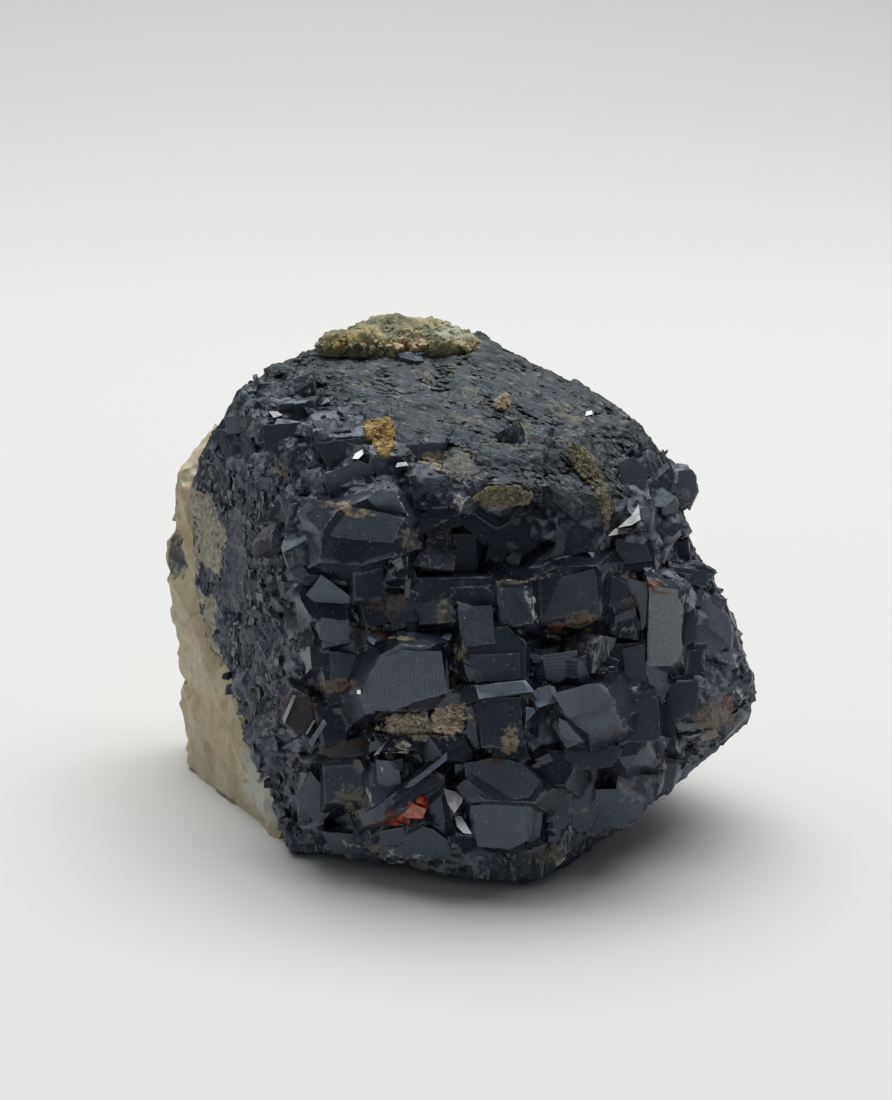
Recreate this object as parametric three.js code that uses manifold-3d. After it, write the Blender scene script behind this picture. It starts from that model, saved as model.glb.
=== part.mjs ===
// Garnet on quartz: a hand specimen of intergrown black garnet crystals on a wedge of cream quartz,
// with a lump of weathered olive crust on the top back edge and tan grains packed in two pockets.
// Millimetres, +Z up. The display side faces -Y and the specimen stands on a flat base at z = 0.

import * as THREE from 'three';
import { ConvexGeometry } from 'three/addons/geometries/ConvexGeometry.js';
import { mergeVertices } from 'three/addons/utils/BufferGeometryUtils.js';
import Module from 'manifold-3d';

const wasm = await Module();
wasm.setup();

// The display side is set out as a visitor sees it: across to the right, up, and toward the visitor,
// from a point in the middle of the stone. Lines of sight meet at the visitor's eye.
const EYE = new THREE.Vector3(0, -205, 90);
const MIDDLE = new THREE.Vector3(0, 0, 27);
const EYE_DISTANCE = EYE.distanceTo(MIDDLE);
const TOWARD = EYE.clone().sub(MIDDLE).normalize();
const ACROSS = new THREE.Vector3(1, 0, 0);
const UP = new THREE.Vector3().crossVectors(TOWARD, ACROSS);

const JOINT_GAP = 0.3; // left between minerals that touch

// Broken surfaces: the longest edge, then the height and the width of their bumps.
const GARNET_SURFACE = { edge: 7.8, height: 0.55, width: 5 };
const QUARTZ_SURFACE = { edge: 7.2, height: 0.9, width: 7 };
const CRUST_SURFACE = { edge: 2.6, height: 0.8, width: 3.4 };
const FILL_SURFACE = { edge: 1.3, height: 0.14, width: 0.9 };
const FINE_WIDTH = 0.43; // finer bumps lie on the coarse ones, as a share of their width and height
const FINE_HEIGHT = 0.6;

const CRYSTAL_ROOT = 3.2; // how far a crystal reaches back into the mass behind its face
const CRYSTAL_FLARE = 0.5; // how much it widens on every side for each millimetre of depth
const ROOT_AT_RIM = 0.9; // where it would stick out past the mass, it narrows to this share instead
const FACE_SPREAD = 0.45; // crystals grew into each other, so each face runs this far past its outline
const RIM_FACES = 2; // further crystal faces that slope off the rim of each face
const RIM_SLOPE = [28, 58]; // their angle to the face, in degrees
const RIM_SHARE = [0.08, 0.5]; // how far in each starts, as a share of the way from the rim to the middle
const RIM_FAVOUR = 1.5; // above 1, small rim faces are the more common
const BASE_SPAN = 200; // block that cuts the base flat
const SEED = 20417;

function point(x, y, z) {
  return new THREE.Vector3(x, y, z);
}

function seen(across, up, toward) {
  const scale = (EYE_DISTANCE - toward) / EYE_DISTANCE;
  const spot = MIDDLE.clone().addScaledVector(ACROSS, across).addScaledVector(UP, up);
  return spot.sub(EYE).multiplyScalar(scale).add(EYE);
}

// Seeded random numbers, and a smooth random field for broken surfaces.
function randomSource(seed) {
  let state = seed;
  return () => {
    state = (state + 0x6d2b79f5) | 0;
    let mixed = Math.imul(state ^ (state >>> 15), 1 | state);
    mixed = (mixed + Math.imul(mixed ^ (mixed >>> 7), 61 | mixed)) ^ mixed;
    return ((mixed ^ (mixed >>> 14)) >>> 0) / 4294967296;
  };
}

function latticeValue(i, j, k, seed) {
  let mixed = Math.imul(i, 374761393) ^ Math.imul(j, 668265263) ^ Math.imul(k, 2147483647) ^ seed;
  mixed = Math.imul(mixed ^ (mixed >>> 13), 1274126177);
  return ((mixed ^ (mixed >>> 16)) >>> 0) / 2147483648 - 1;
}

function field(spot, size, seed) {
  const [x, y, z] = [spot.x / size, spot.y / size, spot.z / size];
  const [i, j, k] = [Math.floor(x), Math.floor(y), Math.floor(z)];
  const [u, v, w] = [x - i, y - j, z - k].map((part) => part * part * (3 - 2 * part));
  let total = 0;
  for (const [di, su] of [[0, 1 - u], [1, u]]) {
    for (const [dj, sv] of [[0, 1 - v], [1, v]]) {
      for (const [dk, sw] of [[0, 1 - w], [1, w]]) {
        total += su * sv * sw * latticeValue(i + di, j + dj, k + dk, seed);
      }
    }
  }
  return total;
}

// Closed geometries and solids.
function positionsOnly(geometry) {
  const bare = geometry.clone();
  bare.deleteAttribute('normal');
  bare.deleteAttribute('uv');
  return mergeVertices(bare, 1e-4);
}

function solidOf(geometry) {
  const bare = positionsOnly(geometry);
  const mesh = new wasm.Mesh({
    numProp: 3,
    vertProperties: new Float32Array(bare.attributes.position.array),
    triVerts: new Uint32Array(bare.index.array),
  });
  return new wasm.Manifold(mesh);
}

function geometryOf(solid) {
  const mesh = solid.getMesh();
  const geometry = new THREE.BufferGeometry();
  geometry.setAttribute('position', new THREE.BufferAttribute(new Float32Array(mesh.vertProperties), 3));
  geometry.setIndex(new THREE.BufferAttribute(new Uint32Array(mesh.triVerts), 1));
  geometry.computeVertexNormals();
  return geometry;
}

function hull(corners) {
  return solidOf(new ConvexGeometry(corners));
}

// Splits every edge longer than longest at its middle, on both of its sides alike, until none is left.
function refined(geometry, longest) {
  const spots = [];
  const position = geometry.attributes.position;
  for (let index = 0; index < position.count; index += 1) {
    spots.push(new THREE.Vector3().fromBufferAttribute(position, index));
  }
  let faces = [];
  for (let index = 0; index < geometry.index.count; index += 3) {
    faces.push([0, 1, 2].map((step) => geometry.index.getX(index + step)));
  }
  for (let changed = true; changed;) {
    changed = false;
    const middles = new Map();
    const middleOf = (a, b) => {
      const name = a < b ? `${a}_${b}` : `${b}_${a}`;
      if (spots[a].distanceTo(spots[b]) > longest && !middles.has(name)) {
        middles.set(name, spots.push(spots[a].clone().add(spots[b]).multiplyScalar(0.5)) - 1);
      }
      return middles.get(name);
    };
    const finer = [];
    for (const [a, b, c] of faces) {
      const [ab, bc, ca] = [middleOf(a, b), middleOf(b, c), middleOf(c, a)];
      const ring = [a, ab, b, bc, c, ca].filter((corner) => corner !== undefined);
      if (ring.length === 6) {
        finer.push([a, ab, ca], [ab, b, bc], [ca, bc, c], [ab, bc, ca]);
      } else {
        const middle = [ab, bc, ca].find((corner) => corner !== undefined);
        const start = middle === undefined ? 0 : ring.indexOf(middle);
        for (let step = 1; step < ring.length - 1; step += 1) {
          const next = (offset) => ring[(start + offset) % ring.length];
          finer.push([next(0), next(step), next(step + 1)]);
        }
      }
    }
    changed = finer.length > faces.length;
    faces = finer;
  }
  const fine = new THREE.BufferGeometry().setFromPoints(spots);
  fine.setIndex(faces.flat());
  fine.computeVertexNormals();
  return fine;
}

// A broken surface: the solid's skin is split fine, then moved in and out along its normals.
function broken(solid, { edge, height, width }, seed) {
  const geometry = refined(geometryOf(solid), edge);
  const { position, normal } = geometry.attributes;
  for (let index = 0; index < position.count; index += 1) {
    const spot = new THREE.Vector3().fromBufferAttribute(position, index);
    const along = new THREE.Vector3().fromBufferAttribute(normal, index);
    const coarse = field(spot, width, seed);
    const fine = field(spot, width * FINE_WIDTH, seed + 7);
    spot.addScaledVector(along, height * (coarse + FINE_HEIGHT * fine));
    position.setXYZ(index, spot.x, spot.y, spot.z);
  }
  return solidOf(geometry);
}

// The garnet mass without its crystals: an upper body with a sloping top, a lower body and a right
// bulge that overhangs the base. Corners on the display side are given as seen, the rest in place.
const UPPER_BODY = [
  seen(-26.3, 14, -7), seen(-22.6, 20, -7), seen(-18, 23.6, -8), seen(-12, 25, -8), seen(2, 25.3, -8),
  seen(8.5, 22.6, -5), seen(15, 20.4, -3), seen(21, 16.6, -1), seen(24.8, 9, 0), seen(26, 4, 1),
  seen(-21, 12, 6), seen(-11, 10.8, 17.5), seen(3, 10.2, 20), seen(13, 9.6, 18), seen(21, 7, 11),
  seen(-27.6, 9.6, -10), seen(-25, 3, -6), seen(-27, -2, -9), seen(-17, -2, 11.5), seen(-6, -6, 18.5),
  seen(8, -6, 19), seen(20, -4, 12.5), point(-24, 16, 44), point(-10, 18, 50), point(4, 18, 50),
  point(15, 15, 44), point(23, 10, 36), point(28, 6, 27), point(26, 8, 14), point(-20, 14, 12),
];
const LOWER_BODY = [
  seen(-17, -2, 11.5), seen(-27, -2, -9), seen(-25.8, -7, -8), seen(-23, -13, -5.5), seen(-22.6, -17, -6.5),
  seen(-20, -20.4, -3.5), seen(-17.2, -24, -0.5), seen(-17.4, -28.6, 0.5), seen(-16, -13, 12),
  seen(-6, -8, 19.5), seen(9, -10, 20.5), seen(18.5, -10, 16.5), seen(21, -16, 12), seen(-15.2, -26, 5.5),
  seen(-14.6, -30.2, 6), seen(-5, -31.3, 11), seen(4, -32.8, 13), seen(10, -33.2, 13), seen(13, -30.4, 11),
  seen(17, -26, 11), point(-12, 8, -1), point(14, 6, -1), point(17, -8, -1), point(22, 10, 14),
  point(24, 6, 24), point(-20, 12, 6),
];
const RIGHT_BULGE = [
  seen(22, 2, 7), seen(27.6, 0, 3), seen(30.2, -3.2, 2.5), seen(32.4, -8, 2), seen(33.6, -13, 1.5),
  seen(33, -15.8, 1), seen(30, -18.2, 1.5), seen(25.4, -19.6, 5), seen(24.4, -23.2, 5), seen(20.2, -26.2, 7),
  seen(15.5, -27.4, 8.5), seen(21.5, -4, 14), seen(21.5, -10, 15.5), seen(19, -14, 15), seen(27, -8, 9.5),
  seen(27.5, -14, 8), point(26, 6, 31), point(31, 6, 22), point(31, 5, 14), point(24, 8, 8),
  point(12, 0, 3),
];

// Hollows: the dark overhang under the brow, and small pits.
// Each is an outline as seen, how deep it goes, and how far its floor climbs as it goes in.
const HOLLOW_MOUTH = 3; // how far a hollow stays open in front of the mass
const HOLLOW_TAPER = 0.8; // its floor's share of its mouth
const HOLLOWS = [
  {
    outline: [[-4.4, 3], [0, 4.6], [4, 7.2], [11.5, 7.2], [12.9, 2.4], [9, -0.2], [4.6, -0.9], [-3.4, -1]],
    depth: 3.6,
    climb: 1.4,
  },
  { outline: [[-4.4, 2.6], [-1, 4.2], [2, 4.9], [5, 2], [4.4, -0.6], [-3.2, -0.8]], depth: 7, climb: 1.4 },
  { outline: [[-13.5, -27.4], [-12.4, -26.5], [-11.3, -27.2], [-12.2, -28.3]], depth: 3, climb: 0 },
  { outline: [[16.4, 17.4], [17.4, 18.5], [18.6, 18], [17.6, 17.2]], depth: 2.6, climb: 0 },
  { outline: [[-18.7, 21.2], [-17.9, 22.4], [-17.1, 21.8], [-17.8, 20.9]], depth: 2.4, climb: 0 },
  { outline: [[-16.8, 20.6], [-13, 20.9], [-13, 20.1], [-16.6, 19.9]], depth: 2, climb: 0 },
  { outline: [[-0.8, 13.4], [0.2, 14.7], [1.1, 14.2], [0.4, 12.9]], depth: 2, climb: 0 },
  { outline: [[-13.2, 7.6], [-12.8, 9.1], [-9.6, 9], [-9.8, 7.8]], depth: 2.4, climb: 0.8 },
  { outline: [[0.2, -8], [1.9, -8.2], [1.9, -12], [0.3, -12.6]], depth: 3, climb: 0 },
];

// Crystal faces of the display side. Turn is degrees to the visitor's right, lean is degrees back from
// upright, so a leaning face looks up, proud is how far it stands out, and its outline is as seen.
function face(turn, lean, proud, ...outline) {
  return { turn, lean, proud, outline };
}

const FACETS = [
  // left shoulder
  face(-35, 40, 0.8, [-24.8, 15.8], [-23.5, 17.8], [-20.8, 17.6], [-20.2, 16], [-22, 15.5]),
  face(-20, 18, 1, [-20, 14], [-20, 16.5], [-17.5, 17], [-17, 14.3]),
  face(-45, 16, 0.7, [-25.4, 13], [-24.8, 15.5], [-20.2, 15.2], [-20, 13]),
  face(0, 12, 1.4, [-18, 16.5], [-17.8, 18.4], [-14.9, 18.6], [-14.9, 16.3]),
  face(-18, 20, 1.2, [-17, 14], [-13.5, 14.5], [-13.2, 11.5], [-16.5, 11]),
  face(-30, 35, 0.8, [-23.5, 19.4], [-20.6, 21.6], [-19.6, 19.2], [-22, 18.2]),
  // under the top slab
  face(6, 14, 1.3, [-13, 15], [-8.9, 15], [-8.7, 12.2], [-12.5, 12]),
  face(12, 14, 0.9, [-7.5, 12.8], [-4.5, 12.8], [-4.3, 10], [-7.3, 10]),
  face(4, 40, 0.7, [4, 13.4], [10, 13.6], [10.3, 10.2], [3.8, 10]),
  face(12, 30, 0.6, [10.8, 13.4], [14.5, 14], [15.5, 10.6], [11, 10.2]),
  face(0, 0, 0.8, [3.3, 8.6], [5, 9.8], [8, 9.7], [9, 8.8], [6, 7.5]),
  face(-6, 16, 0.5, [-3.6, 10.6], [2.6, 10.8], [2.8, 8.2], [-3, 7.6]),
  face(10, 14, 0.4, [10.5, 8.6], [16.8, 8.6], [17, 3.4], [13, 2.4]),
  // big block at the middle left
  face(6, 12, 2.6, [-13.3, 1.8], [-13, 6.3], [-8, 8.3], [-5.2, 8.8], [-3.9, 6.3], [-5, 2.6], [-9, 1.5]),
  face(-38, 36, 2, [-16.6, 5.3], [-16.3, 8.5], [-13.4, 8.2], [-13.2, 5.3]),
  face(-32, 0, 2, [-16.5, 5], [-13.3, 5], [-13.3, 1.5], [-15.5, 1.8]),
  face(-25, 38, 1.3, [-17, -1.5], [-16.8, 1], [-15.5, 1.5], [-14.5, 0.3], [-15, -1.8]),
  face(0, 20, 1.2, [-13.5, 1], [-10, 1], [-10, -1], [-13.3, -0.6]),
  face(-4, 42, 1.8, [-15.5, -2], [-13.5, -0.4], [-11, -2], [-10, -2.5], [-10.2, -4.8], [-14, -4.4]),
  face(2, 2, 1.6, [-13.5, -5], [-10.5, -4.9], [-10.4, -7], [-13, -7.5]),
  face(-22, 30, 1.5, [-18.2, -2.8], [-15.2, -3.4], [-16.5, -6.2]),
  face(-8, 20, 1.3, [-14.6, -7.2], [-11.5, -7.4], [-11.7, -10], [-14.3, -9.8]),
  face(-6, 26, 1, [-13, -10.5], [-9.8, -9.4], [-9.6, -13], [-12.5, -13.7]),
  face(4, 16, 0.9, [-9.8, 0.9], [-6.4, 1.2], [-6.2, -2.2], [-9.6, -2.4]),
  face(-24, 26, 0.9, [-9.2, -2.8], [-6.6, -2.6], [-6.2, -4.6], [-8.4, -5.4]),
  face(14, 10, 0.6, [-6, -2.4], [-3.4, -2.2], [-3.2, -5], [-5.6, -5.6]),
  face(-8, 38, 0.4, [-3, -2.4], [0.2, -2], [0.6, -4.8], [-2.6, -5]),
  face(4, 44, 1.2, [-8.6, -6], [-4.6, -6], [-3, -7], [-5.2, -7.8], [-8.2, -7.6]),
  face(18, 22, 0.8, [-2.8, -5.6], [0.6, -5.4], [0.8, -7.2], [-1.6, -7.8]),
  face(-10, 12, 0.4, [1, -1.6], [5.2, -1.6], [5.4, -4.8], [1.4, -5.2]),
  face(-20, 42, 1.2, [-6, 2.4], [-4.4, 2.1], [-4.5, 0], [-6, 0.2]),
  face(10, 30, 0.6, [-5, 5.8], [-2.7, 3.4], [-4.6, 2.8]),
  // ledge block right of the middle
  face(-16, 6, 2.4, [5.8, -1], [9.1, -0.9], [9.2, -4.9], [6, -5.6]),
  face(8, 10, 2.8, [9.3, -0.8], [12, 0.5], [16.2, 0.8], [16.7, 0], [16.5, -4.2], [13, -5], [9.4, -4.8]),
  face(0, 4, 1, [9, -5.8], [13, -5.4], [13.2, -8], [9, -8]),
  face(8, 22, 1.2, [13.6, -5.4], [16.6, -4.8], [17, -8], [13.8, -8.4]),
  // middle
  face(-6, -2, 2.8, [-6.8, -9], [-5, -8], [-0.6, -8.2], [0, -11.5],
    [-0.3, -13], [-5.5, -14.2], [-8.5, -14.8], [-9, -12.5]),
  face(0, 34, 1.6, [-7.5, -17.4], [-3.5, -17.5], [-3.6, -18.9], [-7.3, -18.8]),
  face(6, 24, 1, [-2.4, -17.6], [3, -17.6], [2.5, -20], [-1, -19.6]),
  face(0, 18, 2.2, [2.1, -6], [6.5, -6], [8.3, -7.5], [8.3, -11.4], [3.5, -11.9], [2.1, -9]),
  face(0, 44, 3, [3.5, -12], [8.3, -11.5], [9.2, -12.6], [4, -13.3]),
  face(2, 18, 2.2, [3.9, -13.5], [9, -12.9], [8.4, -16.6], [5.2, -17.6]),
  face(6, 44, 2.8, [9.3, -12.7], [11.4, -12], [12, -13.5], [10.2, -14]),
  face(-6, 36, 1.8, [8.8, -8.2], [11.4, -8.2], [11.2, -9.5], [9, -9.4]),
  face(-12, 4, 1.6, [9.6, -9.6], [14.2, -9.2], [14, -11.4], [9.8, -11.8]),
  face(6, 42, 1.8, [8.6, -14.3], [10.1, -14.8], [8.8, -16.2]),
  face(-4, 40, 4, [11.6, -12.8], [12, -12.2], [16.5, -12.1], [18.8, -13.5],
    [18.4, -15.8], [15.5, -16.9], [12.5, -14.5]),
  face(-32, 0, 3, [12.2, -15], [14.6, -16.2], [15.7, -17.5], [13.2, -18.3], [12.1, -16.5]),
  face(14, 18, 3.2, [18.8, -13.3], [20.8, -12.5], [21.3, -14], [21.6, -18.3],
    [19.6, -20], [15.9, -17.4], [18.4, -15.8]),
  face(0, -14, 2.2, [15, -17.9], [19.4, -20], [19.4, -20.8], [16, -20.2]),
  face(6, 18, 1.4, [9.4, -18.4], [13.4, -19], [14.4, -22.6], [10.6, -22.4]),
  // upper right
  face(24, 30, 0.9, [18, 9.6], [21.5, 12], [23, 9], [21.6, 5.8], [18.4, 6]),
  face(26, 40, 0.6, [17.4, 15.6], [20.4, 16.4], [22, 13], [19, 11.4]),
  face(40, 12, 1.6, [23, 9.8], [23.2, 13.2], [24.4, 13.4], [25, 11], [24.6, 9.7]),
  face(4, 52, 2.2, [19.3, 5.4], [20.8, 7.8], [21.3, 6.8], [21.2, 5.3]),
  face(12, 28, 1.8, [18, 0.6], [18.3, 4.3], [22.3, 4.4], [22.5, 0.7]),
  face(36, 34, 0.9, [24.3, 1.2], [24.6, 3.8], [26.6, 4], [26.9, 1.6]),
  face(36, 18, 0.8, [22.6, 7.6], [25.6, 7], [26.6, 4.4], [23.4, 4.6]),
  face(22, 14, 1.6, [25, -1], [25.2, 1], [27, 1.1], [29.1, 0.4], [29, -1.3]),
  // right
  face(-20, 16, 2.6, [17.3, 0.2], [18.8, 0], [19.9, -2.6], [17.8, -3.9], [17, -2]),
  face(-8, 46, 3, [19.2, -0.5], [22.2, -1], [22.2, -5], [20.5, -3], [20, -2.8]),
  face(-26, -4, 2.8, [17.5, -4], [20, -3], [20.6, -4.2], [22, -5], [21.5, -6], [19, -7], [18, -5.5]),
  face(20, 0, 3.4, [22.3, -1.5], [25.5, -3], [25.4, -9.4], [22, -9.5]),
  face(-6, 18, 1.4, [17.2, -7.8], [21.4, -7.6], [21.4, -11.8], [17.6, -11.6]),
  face(34, 30, 1.2, [25.9, -6], [26, -3], [28, -2], [30.2, -3.2], [31, -6], [29.5, -8], [27, -8]),
  face(24, 18, 1.2, [25.6, -8.4], [28.2, -8.4], [28, -11], [25.4, -11.2]),
  face(20, 50, 1.4, [28.7, -9], [30.2, -8.2], [32.5, -9], [31.2, -10.2]),
  face(34, 12, 0.9, [28.4, -10.8], [33.2, -10.4], [33.7, -13], [29, -13.4]),
  face(10, 16, 2.2, [23.8, -11.8], [28, -12], [28, -15.8], [24.2, -16]),
  face(-10, 18, 1.4, [21.9, -14], [24.3, -14.5], [24.8, -18.4], [22.4, -17.8]),
  face(6, 48, 2.4, [24.8, -16], [27.3, -16], [27.5, -17], [25.2, -17.1]),
  face(22, 0, 1.4, [28.1, -14], [29.8, -14.3], [30, -15.6], [27.6, -16]),
  face(20, -12, 0.6, [27.6, -16.6], [31.4, -15.2], [33, -15.8], [31, -18], [27.4, -18.6]),
  face(10, 46, 1.8, [21.8, -18.1], [24, -18.8], [26, -18.7], [26, -20], [23.5, -19.6]),
  face(10, 6, 1.4, [20, -20.2], [25, -20.4], [24.5, -23.6], [20.3, -24]),
  face(5, -4, 1.6, [14.5, -23.5], [20.5, -23.3], [22, -25], [20.5, -27],
    [17, -27.7], [15, -28], [13, -26]),
  // lower left
  face(-16, 12, 2.2, [-16.6, -12.9], [-15.2, -13.5], [-14.3, -15], [-15.4, -17.2], [-17.6, -15.8]),
  face(24, 32, 1.8, [-14, -17.8], [-13.2, -16], [-14.1, -15.2], [-15.2, -17.2]),
  face(2, 16, 2, [-14.1, -14.2], [-11.5, -14], [-10.9, -16], [-11.2, -17.8], [-13.2, -18.8]),
  face(-4, 36, 1.6, [-13.8, -19.4], [-10.5, -18], [-9, -17.7], [-9, -19.8], [-14, -20.2]),
  face(-26, 6, 1.4, [-15.8, -21.5], [-13.6, -22], [-13.5, -26.6], [-15.9, -27]),
  face(-16, -4, 0.9, [-17, -29.8], [-13, -30.2], [-13.4, -28.2], [-16.4, -27.6]),
  face(-6, 12, 1.2, [-13, -21], [-9, -20.4], [-8.4, -24], [-12.8, -26]),
  // lower middle
  face(-18, 46, 1.6, [-0.2, -19.6], [-2.4, -20.6], [-5.8, -23.8], [-5.2, -24.4], [-0.8, -21]),
  face(-8, 20, 1.9, [0, -21], [0, -22.6], [-4, -25], [-7.5, -26.3], [-7.8, -25], [-5.6, -24]),
  face(-10, 14, 1.1, [-8, -24.8], [-7.6, -20.6], [-4.4, -20.2], [-2.2, -20.4], [-5.8, -23.6]),
  face(4, 52, 1.9, [0, -23.2], [2, -23.6], [1.2, -25.4], [0.7, -25.6]),
  face(6, 52, 1.9, [0.8, -26.1], [1.6, -26.1], [2.8, -28], [1.3, -27.8]),
  face(0, 38, 2.8, [2, -22.8], [5, -20], [7.7, -20], [10.6, -23], [9.2, -24.5], [3, -24.2]),
  face(-4, -4, 2.8, [3, -24.8], [9.1, -24.6], [8.8, -29], [5, -29.5], [3, -28]),
  face(46, 0, 2.2, [9.1, -24.5], [10.6, -23.1], [10.2, -28], [9, -29]),
  face(-4, -8, 1, [-7.5, -27.4], [-2, -27.2], [0.5, -28.2], [1, -31], [-6, -30.5], [-8, -29]),
  face(6, 24, 1.1, [5.2, -20], [6.3, -17.6], [8.2, -17], [8.6, -19.6], [7.6, -20.2]),
  face(14, 8, 1, [11.4, -24], [13.6, -23.6], [13.2, -29], [11.2, -29.6]),
];

// The one crystal that shows red where light passes through it, and the rounded one at the right edge.
const RED_CRYSTAL = face(-4, 24, 1.4, [-4.3, -24.9], [-2.4, -24.6], [-2.3, -26.4], [-4, -27.2]);
const ROUNDED_CRYSTAL = { place: seen(25, 9.5, 1), radius: 2.3 };

// Garnet grows as rhombic dodecahedra and as trapezohedra with 24 kite faces.
const SCATTER_TRIES = 84;
const SCATTER_MIDDLE = point(2, 0, 24); // they are set on the mass straight out from here
const SCATTER_SIZE = [2.4, 5];
const SCATTER_FAVOUR = 1.6; // above 1, small crystals are the more common
const SHARE_OF_DODECAHEDRA = 0.85;
const FLAT_TOP = 0.72; // a normal that rises more than this is on the top slab
const SLAB_RIM = 46; // no crystal sits higher than this
const HIDDEN = 0.12; // a normal that faces the eye more than this is on the display side
const EDGE_SHARE = 0.4; // crystals that show against the backdrop are smaller by this factor
const BASE_CLEARANCE = 1.2; // a crystal is set at least this many radii above the base
const SUNKEN = 0.45; // its centre lies this many radii under the surface
const LEFT_SIDE = -0.45; // a normal that points further left than this is on the fine grained side

// Quartz wedge: it forms the back and the lower left side, and the garnet leans on its sloping front.
const QUARTZ = [
  point(-18.5, -9.5, -1), seen(-16.4, -24, 1.2), seen(-18.6, -20.6, -2.6), seen(-22.4, -15.8, -5),
  seen(-25.6, -6, -8), seen(-25, 2.4, -8.8), seen(-25.6, 6, -9.4), seen(-28.9, 10.6, -12),
  point(-30.6, 15, 34.5), seen(-30.1, 4.2, -13.5), seen(-30.3, 0.5, -13.5), seen(-28.2, -13, -15.5),
  point(-30.2, 11.4, -1), point(-29.5, 19, -1), point(-30.5, 19.5, 20), point(-27, 20, 39),
  point(-12, 21.5, 43.5), point(6, 21.5, 41), point(15, 20, 32), point(19, 18, 18), point(17, 17, -1),
  point(4, 21.8, -1), point(10, 3, -1), point(8, 14, 36),
];

// Weathered crust: a low granular lump on the top back edge.
const CRUST = [
  seen(-13.8, 25.1, -5.5), seen(-9, 24.7, -4), seen(-5, 24.6, -3.8), seen(0, 25.3, -4.5), seen(3.4, 24.9, -6),
  seen(-11, 26.3, -8), seen(-7, 26.6, -7), seen(-3, 28, -7), seen(1, 26.6, -8), point(-14, 19, 48),
  point(-9, 21, 46), point(0, 21.5, 45.5), point(6, 19, 47), point(-10, 17.5, 52), point(-1, 18, 52.6),
  point(3, 17, 51), point(-6, 14, 46),
];

// Pockets of the display side, each packed with tan grains that stop short of its walls and mouth.
const POCKET_DEPTH = 2.4;
const FILL_SHARE = 0.84; // the grains' width as a share of the pocket's
const FILL_RECESS = 0.2;
const POCKETS = [
  { fill: 'tan_grains_left', outline: [[-7.2, -15], [-2.5, -14.8], [-2.5, -17.2], [-6.6, -17.4]] },
  { fill: 'tan_grains_right', outline: [[-2, -14.6], [2, -13.9], [2.2, -16.8], [-1.8, -17.3]] },
];

function normalOf(turn, lean) {
  const [side, height] = [THREE.MathUtils.degToRad(turn), THREE.MathUtils.degToRad(lean)];
  return point(Math.sin(side) * Math.cos(height), -Math.cos(side) * Math.cos(height), Math.sin(height));
}

// Where the line of sight through a place on the display side first meets the mass.
function meets(mesh, across, up) {
  const sight = new THREE.Raycaster(EYE, seen(across, up, 0).sub(EYE).normalize());
  const hits = sight.intersectObject(mesh);
  return hits.length ? hits[0].point : seen(across, up, 0);
}

function coveredBy(mesh, spot) {
  return new THREE.Raycaster(EYE, spot.clone().sub(EYE).normalize()).intersectObject(mesh).length > 0;
}

function centreOf(outline) {
  const sum = outline.reduce(([a, b], [c, d]) => [a + c, b + d], [0, 0]);
  return sum.map((total) => total / outline.length);
}

// Cuts the block's rim along a seeded direction with a plane that slopes off its face.
function slopedRim(block, plane, middle, fronts, random) {
  const angle = random() * Math.PI * 2;
  const side = ACROSS.clone().projectOnPlane(plane.normal).normalize().applyAxisAngle(plane.normal, angle);
  const farthest = Math.max(...fronts.map((front) => front.clone().sub(middle).dot(side)));
  const start = farthest * (1 - THREE.MathUtils.lerp(...RIM_SHARE, random() ** RIM_FAVOUR));
  const slope = THREE.MathUtils.degToRad(THREE.MathUtils.lerp(...RIM_SLOPE, random()));
  const outward = plane.normal.clone().multiplyScalar(Math.cos(slope)).addScaledVector(side, Math.sin(slope));
  const inward = outward.negate();
  return block.trimByPlane(inward.toArray(), inward.dot(middle.clone().addScaledVector(side, start)));
}

// A crystal with one flat face of the given outline, and sides that flare into the mass behind it.
function facetBlock(mesh, { outline, turn, lean, proud }, random) {
  const [middleAcross, middleUp] = centreOf(outline);
  const met = meets(mesh, middleAcross, middleUp);
  const plane = new THREE.Plane().setFromNormalAndCoplanarPoint(
    normalOf(turn, lean),
    met.clone().addScaledVector(EYE.clone().sub(met).normalize(), proud),
  );
  const depth = proud + CRYSTAL_ROOT;
  const corners = [];
  const fronts = [];
  for (const [across, up] of outline) {
    const [sideways, upward] = [across - middleAcross, up - middleUp];
    const reach = Math.hypot(sideways, upward);
    let spread = 1 + FACE_SPREAD / reach;
    let edge = seen(middleAcross + sideways * spread, middleUp + upward * spread, 0);
    if (!coveredBy(mesh, edge)) {
      spread = 1;
      edge = seen(across, up, 0);
    }
    const sight = new THREE.Ray(EYE, edge.sub(EYE).normalize());
    const front = sight.intersectPlane(plane, new THREE.Vector3());
    const wider = spread + (depth * CRYSTAL_FLARE) / reach;
    const flared = seen(middleAcross + sideways * wider, middleUp + upward * wider, 0);
    const straight = seen(middleAcross + sideways * ROOT_AT_RIM, middleUp + upward * ROOT_AT_RIM, 0);
    const root = (coveredBy(mesh, flared) ? flared : straight).sub(EYE).normalize();
    fronts.push(front);
    corners.push(front, root.multiplyScalar(front.distanceTo(EYE) + depth).add(EYE));
  }
  const middle = fronts.reduce((sum, front) => sum.add(front), point(0, 0, 0)).divideScalar(fronts.length);
  let block = hull(corners);
  for (let count = 0; count < RIM_FACES; count += 1) block = slopedRim(block, plane, middle, fronts, random);
  return block;
}

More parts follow.
